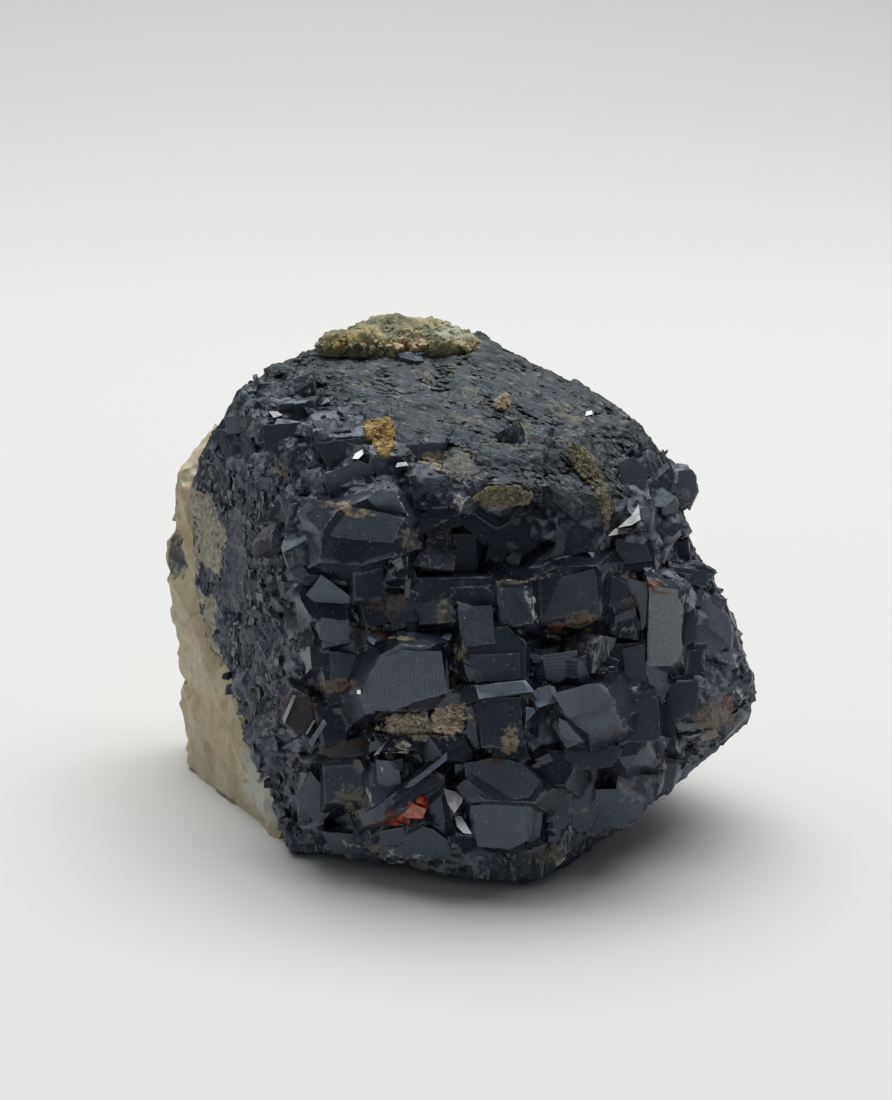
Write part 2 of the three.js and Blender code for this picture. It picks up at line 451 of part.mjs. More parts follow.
// A space along the lines of sight, from in front of the mass to a depth inside it, narrowing inward.
function sightBlock(mesh, outline, share, front, depth, climb) {
  const [middleAcross, middleUp] = centreOf(outline);
  const reach = meets(mesh, middleAcross, middleUp).distanceTo(EYE);
  const widening = (1 - HOLLOW_TAPER) / depth;
  const corners = [];
  for (const inward of [front, depth]) {
    const width = share * (1 - widening * inward);
    for (const [across, up] of outline) {
      const spot = seen(
        middleAcross + (across - middleAcross) * width,
        middleUp + (up - middleUp) * width + climb * Math.max(inward, 0) / depth,
        0,
      );
      corners.push(spot.sub(EYE).normalize().multiplyScalar(reach + inward).add(EYE));
    }
  }
  return hull(corners);
}

function hollowBlock(mesh, { outline, depth, climb }) {
  return sightBlock(mesh, outline, 1, -HOLLOW_MOUTH, depth, climb);
}

function pocketSpace(mesh, { outline }) {
  return sightBlock(mesh, outline, 1, -HOLLOW_MOUTH, POCKET_DEPTH, 0);
}

function pocketFill(mesh, { outline }) {
  const grains = sightBlock(mesh, outline, FILL_SHARE, FILL_RECESS, POCKET_DEPTH - JOINT_GAP, 0);
  return broken(grains, FILL_SURFACE, SEED + 3);
}

// Every corner that signs and turns of the axes make of one corner of a crystal form.
function signed([first, second, third]) {
  const corners = [];
  for (const [x, y, z] of [[first, second, third], [second, third, first], [third, first, second]]) {
    for (const a of [1, -1]) {
      for (const b of [1, -1]) {
        for (const c of [1, -1]) corners.push([a * x, b * y, c * z]);
      }
    }
  }
  const alike = (one) => (other) => one.every((part, axis) => part === other[axis]);
  return corners.filter((corner, index) => corners.findIndex(alike(corner)) === index);
}

// The two crystal forms of garnet, one unit from the centre to a face of the dodecahedron.
const DODECAHEDRON = [...signed([Math.SQRT2, 0, 0]), ...signed([Math.SQRT1_2, Math.SQRT1_2, Math.SQRT1_2])];
const TRAPEZOHEDRON = [
  ...signed([1.2247, 0, 0]), ...signed([0.8165, 0.8165, 0]), ...signed([0.6124, 0.6124, 0.6124]),
];

function crystal(form, place, radius, turned) {
  const set = (corner) => point(...corner).multiplyScalar(radius).applyQuaternion(turned).add(place);
  return hull(form.map(set));
}

// Crystals all over the sides, back and underside, set on the mass along seeded directions. The display
// side has its own faces, and the top slab and the left side are fine grained, so those stay free.
function scatteredCrystals(mesh, random) {
  const crystals = [];
  for (let index = 0; index < SCATTER_TRIES; index += 1) {
    const height = 1 - (2 * (index + 0.5)) / SCATTER_TRIES;
    const angle = index * Math.PI * (3 - Math.sqrt(5));
    const ring = Math.sqrt(1 - height * height);
    const outward = point(Math.cos(angle) * ring, Math.sin(angle) * ring, height);
    const from = SCATTER_MIDDLE.clone().addScaledVector(outward, BASE_SPAN / 2);
    const [hit] = new THREE.Raycaster(from, outward.clone().negate()).intersectObject(mesh);
    let radius = THREE.MathUtils.lerp(...SCATTER_SIZE, random() ** SCATTER_FAVOUR);
    const turned = randomTurn(random);
    const form = random() < SHARE_OF_DODECAHEDRA ? DODECAHEDRON : TRAPEZOHEDRON;
    if (!hit || hit.point.z < radius * BASE_CLEARANCE || hit.point.z > SLAB_RIM) continue;
    const { normal } = hit.face;
    const facing = EYE.clone().sub(hit.point).normalize().dot(normal);
    if (facing > HIDDEN || normal.z > FLAT_TOP || normal.x < LEFT_SIDE) continue;
    const reach = radius * form[0][0];
    const outline = [ACROSS, UP, ACROSS.clone().negate(), UP.clone().negate()];
    const shows = outline.some((way) => !coveredBy(mesh, hit.point.clone().addScaledVector(way, reach)));
    if (shows) radius *= EDGE_SHARE;
    const place = hit.point.clone().addScaledVector(normal, -SUNKEN * radius);
    crystals.push(crystal(form, place, radius, turned));
  }
  return crystals;
}

function randomTurn(random) {
  const spin = new THREE.Euler(random() * Math.PI * 2, random() * Math.PI * 2, random() * Math.PI * 2);
  return new THREE.Quaternion().setFromEuler(spin);
}

// The one outer body: chips that a cut leaves loose, and pores that it closes, are dropped.
function oneBody(solid) {
  return solid.decompose().sort((one, other) => other.volume() - one.volume())[0];
}

function surfaceMesh(solid) {
  return new THREE.Mesh(geometryOf(solid), new THREE.MeshBasicMaterial({ side: THREE.DoubleSide }));
}

function flatBase() {
  return solidOf(new THREE.BoxGeometry(BASE_SPAN, BASE_SPAN, BASE_SPAN).translate(0, 0, -BASE_SPAN / 2));
}

function named(name, geometry, color, roughness) {
  const material = new THREE.MeshStandardMaterial({ color, roughness, metalness: 0, flatShading: true });
  const mesh = new THREE.Mesh(geometry, material);
  mesh.name = name;
  return mesh;
}

function makeQuartz() {
  return oneBody(broken(hull(QUARTZ), QUARTZ_SURFACE, SEED + 1).subtract(flatBase()));
}

function makeCrust() {
  return broken(hull(CRUST), CRUST_SURFACE, SEED + 2);
}

function makeCore() {
  const core = hull(UPPER_BODY).add(hull(LOWER_BODY)).add(hull(RIGHT_BULGE));
  return broken(core, GARNET_SURFACE, SEED);
}

function makeGarnet(core, surface, quartz, crust) {
  const random = randomSource(SEED);
  let mass = core;
  for (const scattered of scatteredCrystals(surface, random)) mass = mass.add(scattered);
  for (const hollow of HOLLOWS) mass = mass.subtract(hollowBlock(surface, hollow));
  for (const facet of FACETS) mass = mass.add(facetBlock(surface, facet, random));
  mass = mass.add(facetBlock(surface, RED_CRYSTAL, random));
  for (const pocket of POCKETS) mass = mass.subtract(pocketSpace(surface, pocket));
  const { place, radius } = ROUNDED_CRYSTAL;
  mass = mass.add(crystal(TRAPEZOHEDRON, place, radius, randomTurn(random)));
  mass = mass.subtract(flatBase());
  mass = mass.subtract(quartz).subtract(quartz.translate(JOINT_GAP, -JOINT_GAP, JOINT_GAP));
  mass = mass.subtract(crust).subtract(crust.translate(0, -JOINT_GAP, -JOINT_GAP));
  return oneBody(mass);
}

const quartz = makeQuartz();
const crust = makeCrust();
const core = makeCore();
const surface = surfaceMesh(core);
const garnet = makeGarnet(core, surface, quartz, crust);

const specimen = new THREE.Group();
specimen.add(named('garnet_mass', geometryOf(garnet), 0x24282e, 0.3));
specimen.add(named('quartz_matrix', geometryOf(quartz), 0xc9bd9c, 0.55));
specimen.add(named('weathered_crust', geometryOf(crust), 0x8d7f57, 0.9));
for (const pocket of POCKETS) {
  specimen.add(named(pocket.fill, geometryOf(pocketFill(surface, pocket)), 0xa08d73, 0.95));
}

// The origin is the middle of the footprint, on the surface that the specimen stands on.
const footprint = new THREE.Box3().setFromObject(specimen).getCenter(new THREE.Vector3());
specimen.position.set(-footprint.x, -footprint.y, 0);

export default specimen;
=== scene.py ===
import math

import bmesh
import bpy
import numpy as np
from mathutils import Euler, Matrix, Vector, noise
from mathutils.bvhtree import BVHTree
from mathutils.kdtree import KDTree


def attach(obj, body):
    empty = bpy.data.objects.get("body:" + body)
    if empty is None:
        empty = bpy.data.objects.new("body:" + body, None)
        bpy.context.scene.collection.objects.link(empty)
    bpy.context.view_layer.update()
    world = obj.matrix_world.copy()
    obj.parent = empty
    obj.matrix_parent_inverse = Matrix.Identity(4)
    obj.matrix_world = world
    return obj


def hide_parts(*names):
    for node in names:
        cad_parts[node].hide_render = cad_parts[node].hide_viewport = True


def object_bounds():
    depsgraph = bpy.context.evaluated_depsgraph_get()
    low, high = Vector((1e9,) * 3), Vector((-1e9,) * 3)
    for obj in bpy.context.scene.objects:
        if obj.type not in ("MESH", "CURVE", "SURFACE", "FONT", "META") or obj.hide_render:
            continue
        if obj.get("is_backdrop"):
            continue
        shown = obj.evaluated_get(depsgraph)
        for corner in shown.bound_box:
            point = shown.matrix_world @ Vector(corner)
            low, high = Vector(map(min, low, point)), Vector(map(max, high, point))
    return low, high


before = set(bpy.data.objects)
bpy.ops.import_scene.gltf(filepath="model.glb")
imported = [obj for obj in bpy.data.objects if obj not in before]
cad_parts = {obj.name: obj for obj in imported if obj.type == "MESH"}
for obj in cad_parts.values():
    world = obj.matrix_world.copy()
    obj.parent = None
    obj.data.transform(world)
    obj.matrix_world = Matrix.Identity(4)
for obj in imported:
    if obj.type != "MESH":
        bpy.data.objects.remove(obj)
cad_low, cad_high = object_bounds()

MM = 0.001

# The specimen is seen from a little above its display side, close up, as by a phone held over a table.
# Marks are placed as this eye sees them: across, up and toward the viewer, in millimetres.
EYE = np.array([-0.642, -203.245, 90]) * MM
MIDDLE = np.array([-0.642, 1.755, 27]) * MM
EYE_TILT = math.radians(16.34)
LENS = 64.44
EYE_DISTANCE = np.linalg.norm(EYE - MIDDLE)
TOWARD = (EYE - MIDDLE) / EYE_DISTANCE
UP = np.cross(TOWARD, [1, 0, 0])

bpy.ops.object.select_all(action="DESELECT")
bpy.ops.object.camera_add(location=EYE, rotation=(math.pi / 2 - EYE_TILT, 0, 0))
camera = bpy.context.object
camera.data.lens = LENS
camera.data.sensor_fit = "VERTICAL"
camera.data.sensor_height = 36
camera.data.clip_start = 0.01
bpy.context.scene.camera = camera
bpy.context.scene.view_settings.view_transform = "Standard"

# The stage is a pale sheet that curves up behind the specimen, under a soft panel overhead and a little behind.
SHEET_HALF = 3.0
SHEET_FLAT_TO = 0.5
SHEET_BEND = 1.2
SHEET_WHITE = (0.755, 0.75, 0.735, 1)
ROOM_COLOUR, ROOM_STRENGTH = (0.86, 0.93, 1, 1), 0.13
PANEL_AT, PANEL_FACES = Vector((0.06, 0.26, 1.05)), Vector((0, 0.05, 0))
PANEL_WIDTH, PANEL_DEPTH, PANEL_POWER = 1.5, 0.85, 16.2
bpy.ops.mesh.primitive_grid_add(x_subdivisions=2, y_subdivisions=120, size=2 * SHEET_HALF)
sheet = bpy.context.object
sheet.name = "pale_sheet"
for vertex in sheet.data.vertices:
    past = vertex.co.y - SHEET_FLAT_TO
    if past > 0:
        turn = min(past / SHEET_BEND, math.pi / 2)
        rise = max(0, past - SHEET_BEND * math.pi / 2)
        vertex.co.y = SHEET_FLAT_TO + SHEET_BEND * math.sin(turn)
        vertex.co.z = SHEET_BEND * (1 - math.cos(turn)) + rise
bpy.ops.object.shade_smooth()
pale = bpy.data.materials.new("pale_sheet")
pale.use_nodes = True
shader = pale.node_tree.nodes["Principled BSDF"]
shader.inputs["Base Color"].default_value = SHEET_WHITE
shader.inputs["Roughness"].default_value = 0.9
sheet.data.materials.append(pale)
sheet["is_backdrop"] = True

world = bpy.data.worlds.new("studio")
bpy.context.scene.world = world
world.use_nodes = True
world.node_tree.nodes["Background"].inputs["Color"].default_value = ROOM_COLOUR
world.node_tree.nodes["Background"].inputs["Strength"].default_value = ROOM_STRENGTH

bpy.ops.object.light_add(type="AREA", location=PANEL_AT)
panel = bpy.context.object
panel.data.shape = "RECTANGLE"
panel.data.size = PANEL_WIDTH
panel.data.size_y = PANEL_DEPTH
panel.data.energy = PANEL_POWER
panel.rotation_euler = (PANEL_FACES - PANEL_AT).to_track_quat("-Z", "Y").to_euler()

# Garnet mass: black garnet crystals grown into each other, with flat glossy faces and chipped edges.
# Its top slab and left side are fine grained. It is one stone, and is joined to the quartz as both grew.
SEED = 20417
LONGEST_IN_VIEW = 0.56 * MM
LONGEST_ELSEWHERE = 1.5 * MM
RIDGE_ANGLE = math.radians(24)
SMOOTH_BELOW = math.radians(26)
CHIP_DEPTH = 0.2 * MM
LOWEST_MOVED = 0.4 * MM

# Zones of the display side as seen, and its lit faces: across, up, and how much light each sends back as a
# painted reflection.
TOP_SLAB = [(-21, 22), (-13, 26), (3, 26.5), (9, 24.5), (16, 22), (23, 17), (20, 13), (17.8, 8), (16, 5.5),
            (14, 8.5), (10, 9.2), (4, 9.6), (0.5, 10.8), (-3.5, 13), (-5.5, 13.6), (-8, 16), (-13, 18.8),
            (-18, 20.2)]
LEFT_SIDE = [(-30, 15), (-25, 12.8), (-19, 11), (-17.6, 4), (-18.4, -3), (-18, -12), (-18.4, -19), (-16.4, -27),
             (-18, -29), (-24, -20), (-31, -8)]
CLEAN_FACES = [(-16.6, 8.5), (-5, 9), (-3, 7.4), (5, 6.6), (13, 5), (17, 3), (18, 4.5), (22.5, 4.5), (25, -1),
               (31, -3), (32, -9), (27, -11), (26, -18), (25.5, -23.5), (20.5, -27.5), (15, -28.5), (10.5, -30),
               (3, -30), (-8, -28.5), (-13.5, -27.2), (-16.5, -27.5), (-16.5, -20), (-15, -19), (-17.8, -15.8),
               (-16.8, -12.5), (-15.2, -9.8), (-15.4, -7), (-15.8, -2), (-17, 1)]
LIT_FACES = [(23.7, -5.5, 0.9), (20.4, -5.6, 0.3), (-4.2, -11.5, 0.28), (6.3, -12.2, 0.75), (11.9, -13, 0.5),
             (15.4, -14.6, 0.28), (13, -17.4, 0.3), (6.5, -26.4, 0.16), (-8, -26.8, 0.3), (-13.4, -0.6, 0.3),
             (-15.5, 4.2, 0.3), (28.6, -5, 0.3), (29.6, -9.4, 0.5), (22, -14.2, 0.12), (17.8, -22.8, 0.25)]
LOWER_RIM = [(-18, -27), (-13, -30), (-4, -30.6), (4, -31), (10, -30), (14, -27.5), (18, -29), (8, -36),
             (-20, -34)]


def as_seen(spots):
    """Where points stand in the view: across and up, in millimetres."""
    sights = spots - EYE
    reach = EYE_DISTANCE / -(sights @ TOWARD)
    flat = EYE + sights * reach[:, None] - MIDDLE
    return flat[:, 0] / MM, flat @ UP / MM


def sight_of(across, up):
    """The way from the eye to a place in the view."""
    return MIDDLE + np.array([across * MM, 0, 0]) + UP * up * MM - EYE


def inside(outline, across, up):
    hit = np.zeros(len(across), dtype=bool)
    for (x0, y0), (x1, y1) in zip(outline, outline[1:] + outline[:1]):
        crossing = (y0 > up) != (y1 > up)
        hit ^= crossing & (across < (x1 - x0) * (up - y0) / ((y1 - y0) or 1) + x0)
    return hit


def wobble(spots, size, seed=0):
    """Smooth noise for each point, from about -1 to 1, with bumps of the given size."""
    shift = Vector((seed * 7.3, seed * 3.1, seed * 5.7))
    return np.array([noise.noise(Vector(spot) / size + shift) for spot in spots])


def tree_among(spots):
    tree = KDTree(len(spots))
    for index, spot in enumerate(spots):
        tree.insert(spot, index)
    tree.balance()
    return tree


def breaks(spots, size, step, lean, seed):
    """Small flat breaks: cells of about the given size, each a little in or out and leaning its own way."""
    dice = np.random.default_rng(seed)
    _, first = np.unique(np.floor(spots / size + dice.random(3)), axis=0, return_index=True)
    centres = spots[first]
    tree = tree_among(centres)
    nearest = np.array([tree.find(spot)[1] for spot in spots])
    leans = dice.normal(size=centres.shape) * lean
    rises = dice.uniform(-step, step, len(centres))
    return rises[nearest] + np.einsum("ij,ij->i", spots - centres[nearest], leans[nearest])


def select_only(piece):
    bpy.ops.object.select_all(action="DESELECT")
    piece.select_set(True)
    bpy.context.view_layer.objects.active = piece


def piece_from(node, name):
    """A piece that starts as a merged copy of a solid of the frame, with flat faces in one polygon each."""
    piece = bpy.data.objects.new(name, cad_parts[node].data.copy())
    bpy.context.collection.objects.link(piece)
    piece.data.materials.clear()
    select_only(piece)
    bpy.ops.object.mode_set(mode="EDIT")
    bpy.ops.mesh.select_all(action="SELECT")
    bpy.ops.mesh.remove_doubles(threshold=0.004 * MM)
    bpy.ops.mesh.dissolve_limited(angle_limit=math.radians(1.5))
    bpy.ops.object.mode_set(mode="OBJECT")
    return piece


# A face counts as in view until it is turned a little past edge on.
JUST_HIDDEN = -0.02


def refine(piece, longest_in_view=LONGEST_IN_VIEW, longest_elsewhere=LONGEST_ELSEWHERE, lit_faces=()):
    """Halves long edges, marks ridges as sharp, and gives each face a tint, which is past 1 on the lit ones and
    sets their painted reflection.
    """
    mesh = bmesh.new()
    mesh.from_mesh(piece.data)
    tint = mesh.faces.layers.float.get("tint")
    if tint is None:
        dice = np.random.default_rng(SEED)
        tint = mesh.faces.layers.float.new("tint")
        for face in mesh.faces:
            face[tint] = dice.random()
    mesh.faces.ensure_lookup_table()
    tree = BVHTree.FromBMesh(mesh)
    eye = Vector(EYE)
    for across, up, light in lit_faces:
        met = tree.ray_cast(eye, Vector(sight_of(across, up)))[2]
        if met is not None:
            mesh.faces[met][tint] = 1 + light
    for edge in mesh.edges:
        edge.smooth = not (edge.is_manifold and edge.calc_face_angle_signed() > RIDGE_ANGLE)
    bmesh.ops.triangulate(mesh, faces=mesh.faces[:])
    for _ in range(8):
        long = []
        for edge in mesh.edges:
            spot = edge.verts[0].co
            shown = any(face.normal.dot(eye - spot) > JUST_HIDDEN for face in edge.link_faces)
            if edge.calc_length() > (longest_in_view if shown else longest_elsewhere):
                long.append(edge)
        if not long:
            break
        bmesh.ops.subdivide_edges(mesh, edges=long, cuts=1)
        bmesh.ops.triangulate(mesh, faces=[face for face in mesh.faces if len(face.verts) > 3])
    mesh.to_mesh(piece.data)
    mesh.free()
    piece.data.validate(clean_customdata=False)


def spots_and_normals(piece):
    count = len(piece.data.vertices)
    spots, normals = np.empty(count * 3), np.empty(count * 3)
    piece.data.vertices.foreach_get("co", spots)
    piece.data.vertices.foreach_get("normal", normals)
    return spots.reshape(-1, 3), normals.reshape(-1, 3)


def move_along(piece, normals, distance):
    spots = spots_and_normals(piece)[0] + normals * distance[:, None]
    piece.data.vertices.foreach_set("co", spots.ravel())
    piece.data.update()


def keep_values(piece, name, values):
    layer = piece.data.attributes.new(name, "FLOAT", "POINT")
    layer.data.foreach_set("value", values.astype(np.float32))


def keep_colours(piece, name, colours):
    layer = piece.data.attributes.new(name, "FLOAT_COLOR", "POINT")
    layer.data.foreach_set("color", colours.astype(np.float32).ravel())


def tree_of(node):
    return BVHTree.FromObject(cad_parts[node], bpy.context.evaluated_depsgraph_get())


garnet_tree = tree_of("garnet_mass")


def crevice_at(spots, normals, reach=4 * MM):
    """How much the stone around closes over each point, from 0 in the open to 1 deep in a cleft."""
    dice = np.random.default_rng(SEED + 1)
    rays = dice.normal(size=(10, 3))
    rays /= np.linalg.norm(rays, axis=1)[:, None]
    closed = np.zeros(len(spots))
    for index, (spot, normal) in enumerate(zip(spots, normals)):
        start = Vector(spot + normal * 0.15 * MM)
        for ray in rays:
            met = garnet_tree.ray_cast(start, Vector(normal * 1.05 + ray), reach)
            if met[0] is not None:
                closed[index] += 1 - 0.6 * met[3] / reach
    return np.clip(closed / len(rays) * 1.25, 0, 1)


def in_view(spots, normals):
    return np.einsum("ij,ij->i", normals, EYE - spots) > JUST_HIDDEN


def within(outline, spots, normals):
    """Whether each point lies in a zone of the display side, whose border is ragged by about a millimetre."""
    across, up = as_seen(spots)
    across = across + wobble(spots, 2.6 * MM, 1) * 1.6
    up = up + wobble(spots, 2.6 * MM, 2) * 1.6
    return inside(outline, across, up) & in_view(spots, normals)


def slab_at(spots, normals):
    behind = ~in_view(spots, normals) & (normals[:, 2] > 0.55) & (spots[:, 2] > 36 * MM)
    return within(TOP_SLAB, spots, normals) | behind


def grain_at(spots, normals):
    """1 where the garnet is fine grained, 0 on crystal faces."""
    patches = ~in_view(spots, normals) & (wobble(spots, 9 * MM, 3) > -0.05)
    fine = within(LEFT_SIDE, spots, normals) | within(LOWER_RIM, spots, normals) | patches
    return (slab_at(spots, normals) | fine).astype(float)


# The slab's grain runs from the upper left to the lower right, and some crystal faces are finely grooved.
STREAK_TURN = np.array(Euler((0.15, 0.1, -0.52)).to_matrix())
STREAK_STRETCH = 0.22
UPRIGHT_STRIAE = [(-9, -15), (-9, -12), (-6.8, -9), (-5, -8), (-0.4, -8.2), (0.2, -13), (-5.5, -14.4)]
LEVEL_STRIAE = [(9.4, -9), (14.4, -9), (14.2, -11.6), (9.6, -12)]

# Stains and fillings as seen: colour, across, up, half width, half height, turn in degrees.
RUST = (0.17, 0.07, 0.03)
BROWN = (0.085, 0.055, 0.035)
UMBER = (0.19, 0.13, 0.08)
TAN = (0.3, 0.235, 0.15)
KHAKI = (0.17, 0.15, 0.1)
GOLD = (0.36, 0.25, 0.1)
GREY = (0.19, 0.2, 0.21)
SLATE = (0.105, 0.11, 0.125)
PALE = (0.5, 0.49, 0.46)
WHITE = (0.85, 0.87, 0.88)
PURPLE = (0.055, 0.05, 0.062)
DARK_RED = (0.14, 0.02, 0.01)
# Black stains are painted shade in small hollows and thin clefts.
SHADE_BLACK = (0.002, 0.002, 0.003)
CREAM = (0.47, 0.42, 0.31)
BEIGE = (0.46, 0.39, 0.3)
STAINS = [
    (CREAM, -26.8, 7.4, 1.3, 1.6, 20), (CREAM, -26, 4.6, 1.5, 1.9, -25), (CREAM, -25.2, 2, 1, 1.1, 0),
    (CREAM, -27.2, 2.4, 1, 2, 0), (CREAM, -26.6, -4.6, 1.3, 2.2, 8), (CREAM, -25.9, -8.5, 1.2, 2, 20),
    (CREAM, -24.9, -12, 0.8, 1.6, 8), (CREAM, -24.2, -15, 0.7, 1.6, 0), (SLATE, -22.6, 3.5, 1.3, 3.6, 8),
    (SLATE, -21, -8.5, 1, 3.8, 0), (SLATE, -23.2, -1.5, 0.8, 2.2, 0), (BEIGE, -2.2, -16.2, 4.4, 1.3, 6),
    (GOLD, -7.2, 15.2, 1.3, 1.5, 0), (KHAKI, 3.6, 19.3, 1.7, 0.35, -27), (KHAKI, 2.6, 16.7, 2.5, 0.4, -15),
    (TAN, 6.1, 18.8, 0.9, 0.8, 0), (TAN, -6.7, 13.5, 0.7, 0.6, 0), (KHAKI, 15, 12.6, 2.7, 0.7, -40),
    (KHAKI, 17.6, 7.8, 0.5, 2.4, 0), (KHAKI, 1.4, 12, 1.9, 1, 0), (PURPLE, 7, 11.8, 3, 1.7, -10),
    (KHAKI, 6.2, 8.7, 2.9, 1.05, 3), (PALE, 1.5, 8.3, 0.8, 0.5, 20), (TAN, -18.4, 11.6, 0.45, 0.7, 0),
    (TAN, -10.6, 7.1, 2.7, 0.5, -13), (PALE, -4.6, 7.5, 1.4, 0.25, -63), (KHAKI, -3.8, 4, 1, 1.2, 30),
    (KHAKI, 0.6, 4.9, 1.3, 0.3, -20), (GREY, 7, 2.8, 0.75, 0.6, 0), (GREY, 6, 1.7, 0.5, 0.35, 0),
    (GREY, -5.2, 1.2, 0.8, 0.9, 0), (KHAKI, 9, -0.4, 3.4, 0.3, 12), (PALE, 9.2, -3, 0.25, 1.7, 0),
    (UMBER, 14.8, -4.9, 2.2, 0.55, 10), (RUST, 11.7, -6, 0.8, 1, 0), (WHITE, 11.6, -6.5, 0.3, 0.25, 0),
    (TAN, 16.1, -6.9, 0.6, 0.9, 0), (TAN, -4.6, -6.9, 1.7, 0.45, -5), (RUST, -7.2, -6.5, 1.2, 0.7, 0),
    (BROWN, -6.3, -3.2, 2, 1.3, 0), (KHAKI, -0.4, -3.6, 0.6, 1.5, 0), (TAN, 1.4, -8.6, 0.5, 1.7, 0),
    (KHAKI, 21.7, -0.3, 3.2, 0.25, -8), (RUST, 22.5, -1.2, 1.3, 0.5, -20), (BROWN, 20.4, -3.2, 0.6, 1.2, 0),
    (PALE, 30, -9.6, 1.4, 0.25, -25), (SHADE_BLACK, 28.5, -10.4, 0.6, 0.5, 0), (SHADE_BLACK, 31.5, -11, 0.6, 0.4, 0),
    (GREY, 26.1, -16.5, 1.4, 0.3, -20), (UMBER, 29.2, -15.4, 2, 2.3, 0), (KHAKI, 30.2, -11.6, 1.2, 0.5, 60),
    (PALE, 31.6, -13.6, 0.2, 1.6, -10), (TAN, 28.2, -17.6, 1.6, 0.4, 10), (RUST, 29.8, -14, 1.2, 0.7, 30),
    (TAN, 14.6, -25.4, 1.1, 0.4, 10), (WHITE, 12.3, -30.8, 0.25, 0.25, 0), (BROWN, -16, -15, 1.9, 2.2, 0),
    (BROWN, -11.5, -18.7, 2.5, 0.9, 10), (DARK_RED, -5.8, -26.2, 1.9, 0.5, 23), (TAN, 7, -18, 0.6, 1.5, 0),
    (BROWN, 6, -20, 2, 0.4, 0), (SHADE_BLACK, -12.4, -27.3, 1.1, 0.8, 0), (KHAKI, 9.5, 15.5, 2.4, 0.4, -22),
    (KHAKI, 12.5, 17.4, 2, 0.35, -25), (KHAKI, 6.5, 14.2, 1.8, 0.3, -18), (KHAKI, -2.5, 21.5, 1.6, 0.3, -12),
    (KHAKI, -9.5, 21, 1.5, 0.3, -10), (KHAKI, 0.5, 22.6, 1.2, 0.3, -15), (SHADE_BLACK, -6.5, 22.4, 0.9, 0.2, -15),
    (SHADE_BLACK, 9.6, 19.2, 1, 0.25, -25), (SHADE_BLACK, 4, 16.6, 0.9, 0.35, -10), (SHADE_BLACK, -3.4, 18.6, 0.8, 0.2, -15),
    (SHADE_BLACK, 12.2, 14.2, 0.8, 0.25, -30), (SHADE_BLACK, 0.2, 13.6, 0.9, 0.7, 0), (UMBER, -12.4, -11.9, 2.4, 0.8, 5),
    (PALE, -6.5, -20.2, 0.2, 1.2, -30), (PALE, -8.6, -24, 0.16, 1.8, 10), (KHAKI, -10.3, -24.2, 1.2, 1.6, 0),
    (PALE, -10.5, -29.3, 2.2, 0.2, -9), (PALE, -5, -30.5, 2.5, 0.2, -4), (TAN, -1.2, 12.6, 1.1, 1, 0),
    (PALE, 11.8, -30.6, 0.8, 0.35, 10), (KHAKI, -9, -29.4, 3.4, 0.35, -7), (GREY, 1, -31.4, 4, 0.35, -1),
    (KHAKI, 11.3, -30.4, 1.8, 0.9, 25), (SHADE_BLACK, -14.9, 20.4, 1.8, 0.3, -4), (SHADE_BLACK, -18, 21.7, 0.7, 0.6, 0),
    (SHADE_BLACK, 17.5, 17.8, 0.9, 0.5, 0),
]


def stains_at(spots, normals, stains):
    """The stain colour of each point, with how much of it shows in the fourth value."""
    across, up = as_seen(spots)
    across = across + wobble(spots, 1.8 * MM, 51) * 1.1
    up = up + wobble(spots, 1.8 * MM, 52) * 1.1
    colours = np.zeros((len(spots), 4))
    for colour, at_across, at_up, half_width, half_height, turn in stains:
        lean = math.radians(turn)
        along = (across - at_across) * math.cos(lean) + (up - at_up) * math.sin(lean)
        beside = (up - at_up) * math.cos(lean) - (across - at_across) * math.sin(lean)
        shown = np.clip(1.7 - np.hypot(along / half_width, beside / half_height), 0, 1)
        shown *= in_view(spots, normals)
        shown *= 2.2 if colour in (WHITE, CREAM) else 1
        stronger = shown > colours[:, 3]
        colours[stronger, :3] = colour
        colours[stronger, 3] = shown[stronger]
    return colours


def new_look(name):
    """Starts a material, which the next nodes go into, and gives it, its shader and its object coordinates."""
    global look
    look = bpy.data.materials.new(name)
    look.use_nodes = True
    return look, look.node_tree.nodes["Principled BSDF"], add_node("TexCoord").outputs["Object"]


def add_node(kind, inputs=None, **settings):
    """A shader node with its settings, its input values and its links from other nodes."""
    node = look.node_tree.nodes.new("ShaderNode" + kind)
    for name, value in settings.items():
        setattr(node, name, value)
    for name, value in (inputs or {}).items():
        if isinstance(value, bpy.types.NodeSocket):
            look.node_tree.links.new(value, node.inputs[name])
        else:
            node.inputs[name].default_value = value
    return node


def maths(operation, *values):
    return add_node("Math", dict(enumerate(values)), operation=operation).outputs[0]


def times(first, second):
    return maths("MULTIPLY", first, second)


def plus(first, second):
    return maths("ADD", first, second)


def larger(first, second):
    return maths("MAXIMUM", first, second)


def thin_lines(noise_value, width):
    """1 along the lines where a noise passes through a half, 0 elsewhere."""
    return maths("COMPARE", noise_value, 0.5, width)


def ramp(value, low, high, to_low=0, to_high=1):
    """Maps low..high to the new range and holds it at both ends."""
    inputs = {"Value": value, "From Min": low, "From Max": high, "To Min": to_low, "To Max": to_high}
    return add_node("MapRange", inputs).outputs[0]


def mix(share, first, second):
    """A colour between two, the second where the share is 1."""
    shown = [value if isinstance(value, bpy.types.NodeSocket) else (*value, 1) for value in (first, second)]
    return add_node("Mix", {0: share, 6: shown[0], 7: shown[1]}, data_type="RGBA").outputs[2]


def scaled(colour, amount):
    return add_node("VectorMath", {0: colour, "Scale": amount}, operation="SCALE").outputs[0]


def mapped(vector, **changes):
    return add_node("Mapping", {"Vector": vector, **changes}).outputs[0]


def add_noise(spot, size, detail=3, seed=0):
    inputs = {"Vector": spot, "W": seed, "Scale": 1 / size, "Detail": detail}
    return add_node("TexNoise", inputs, noise_dimensions="4D").outputs["Fac"]


def value_of(name):
    return add_node("Attribute", attribute_name=name).outputs["Fac"]


def connect(output, socket):
    look.node_tree.links.new(output, socket)


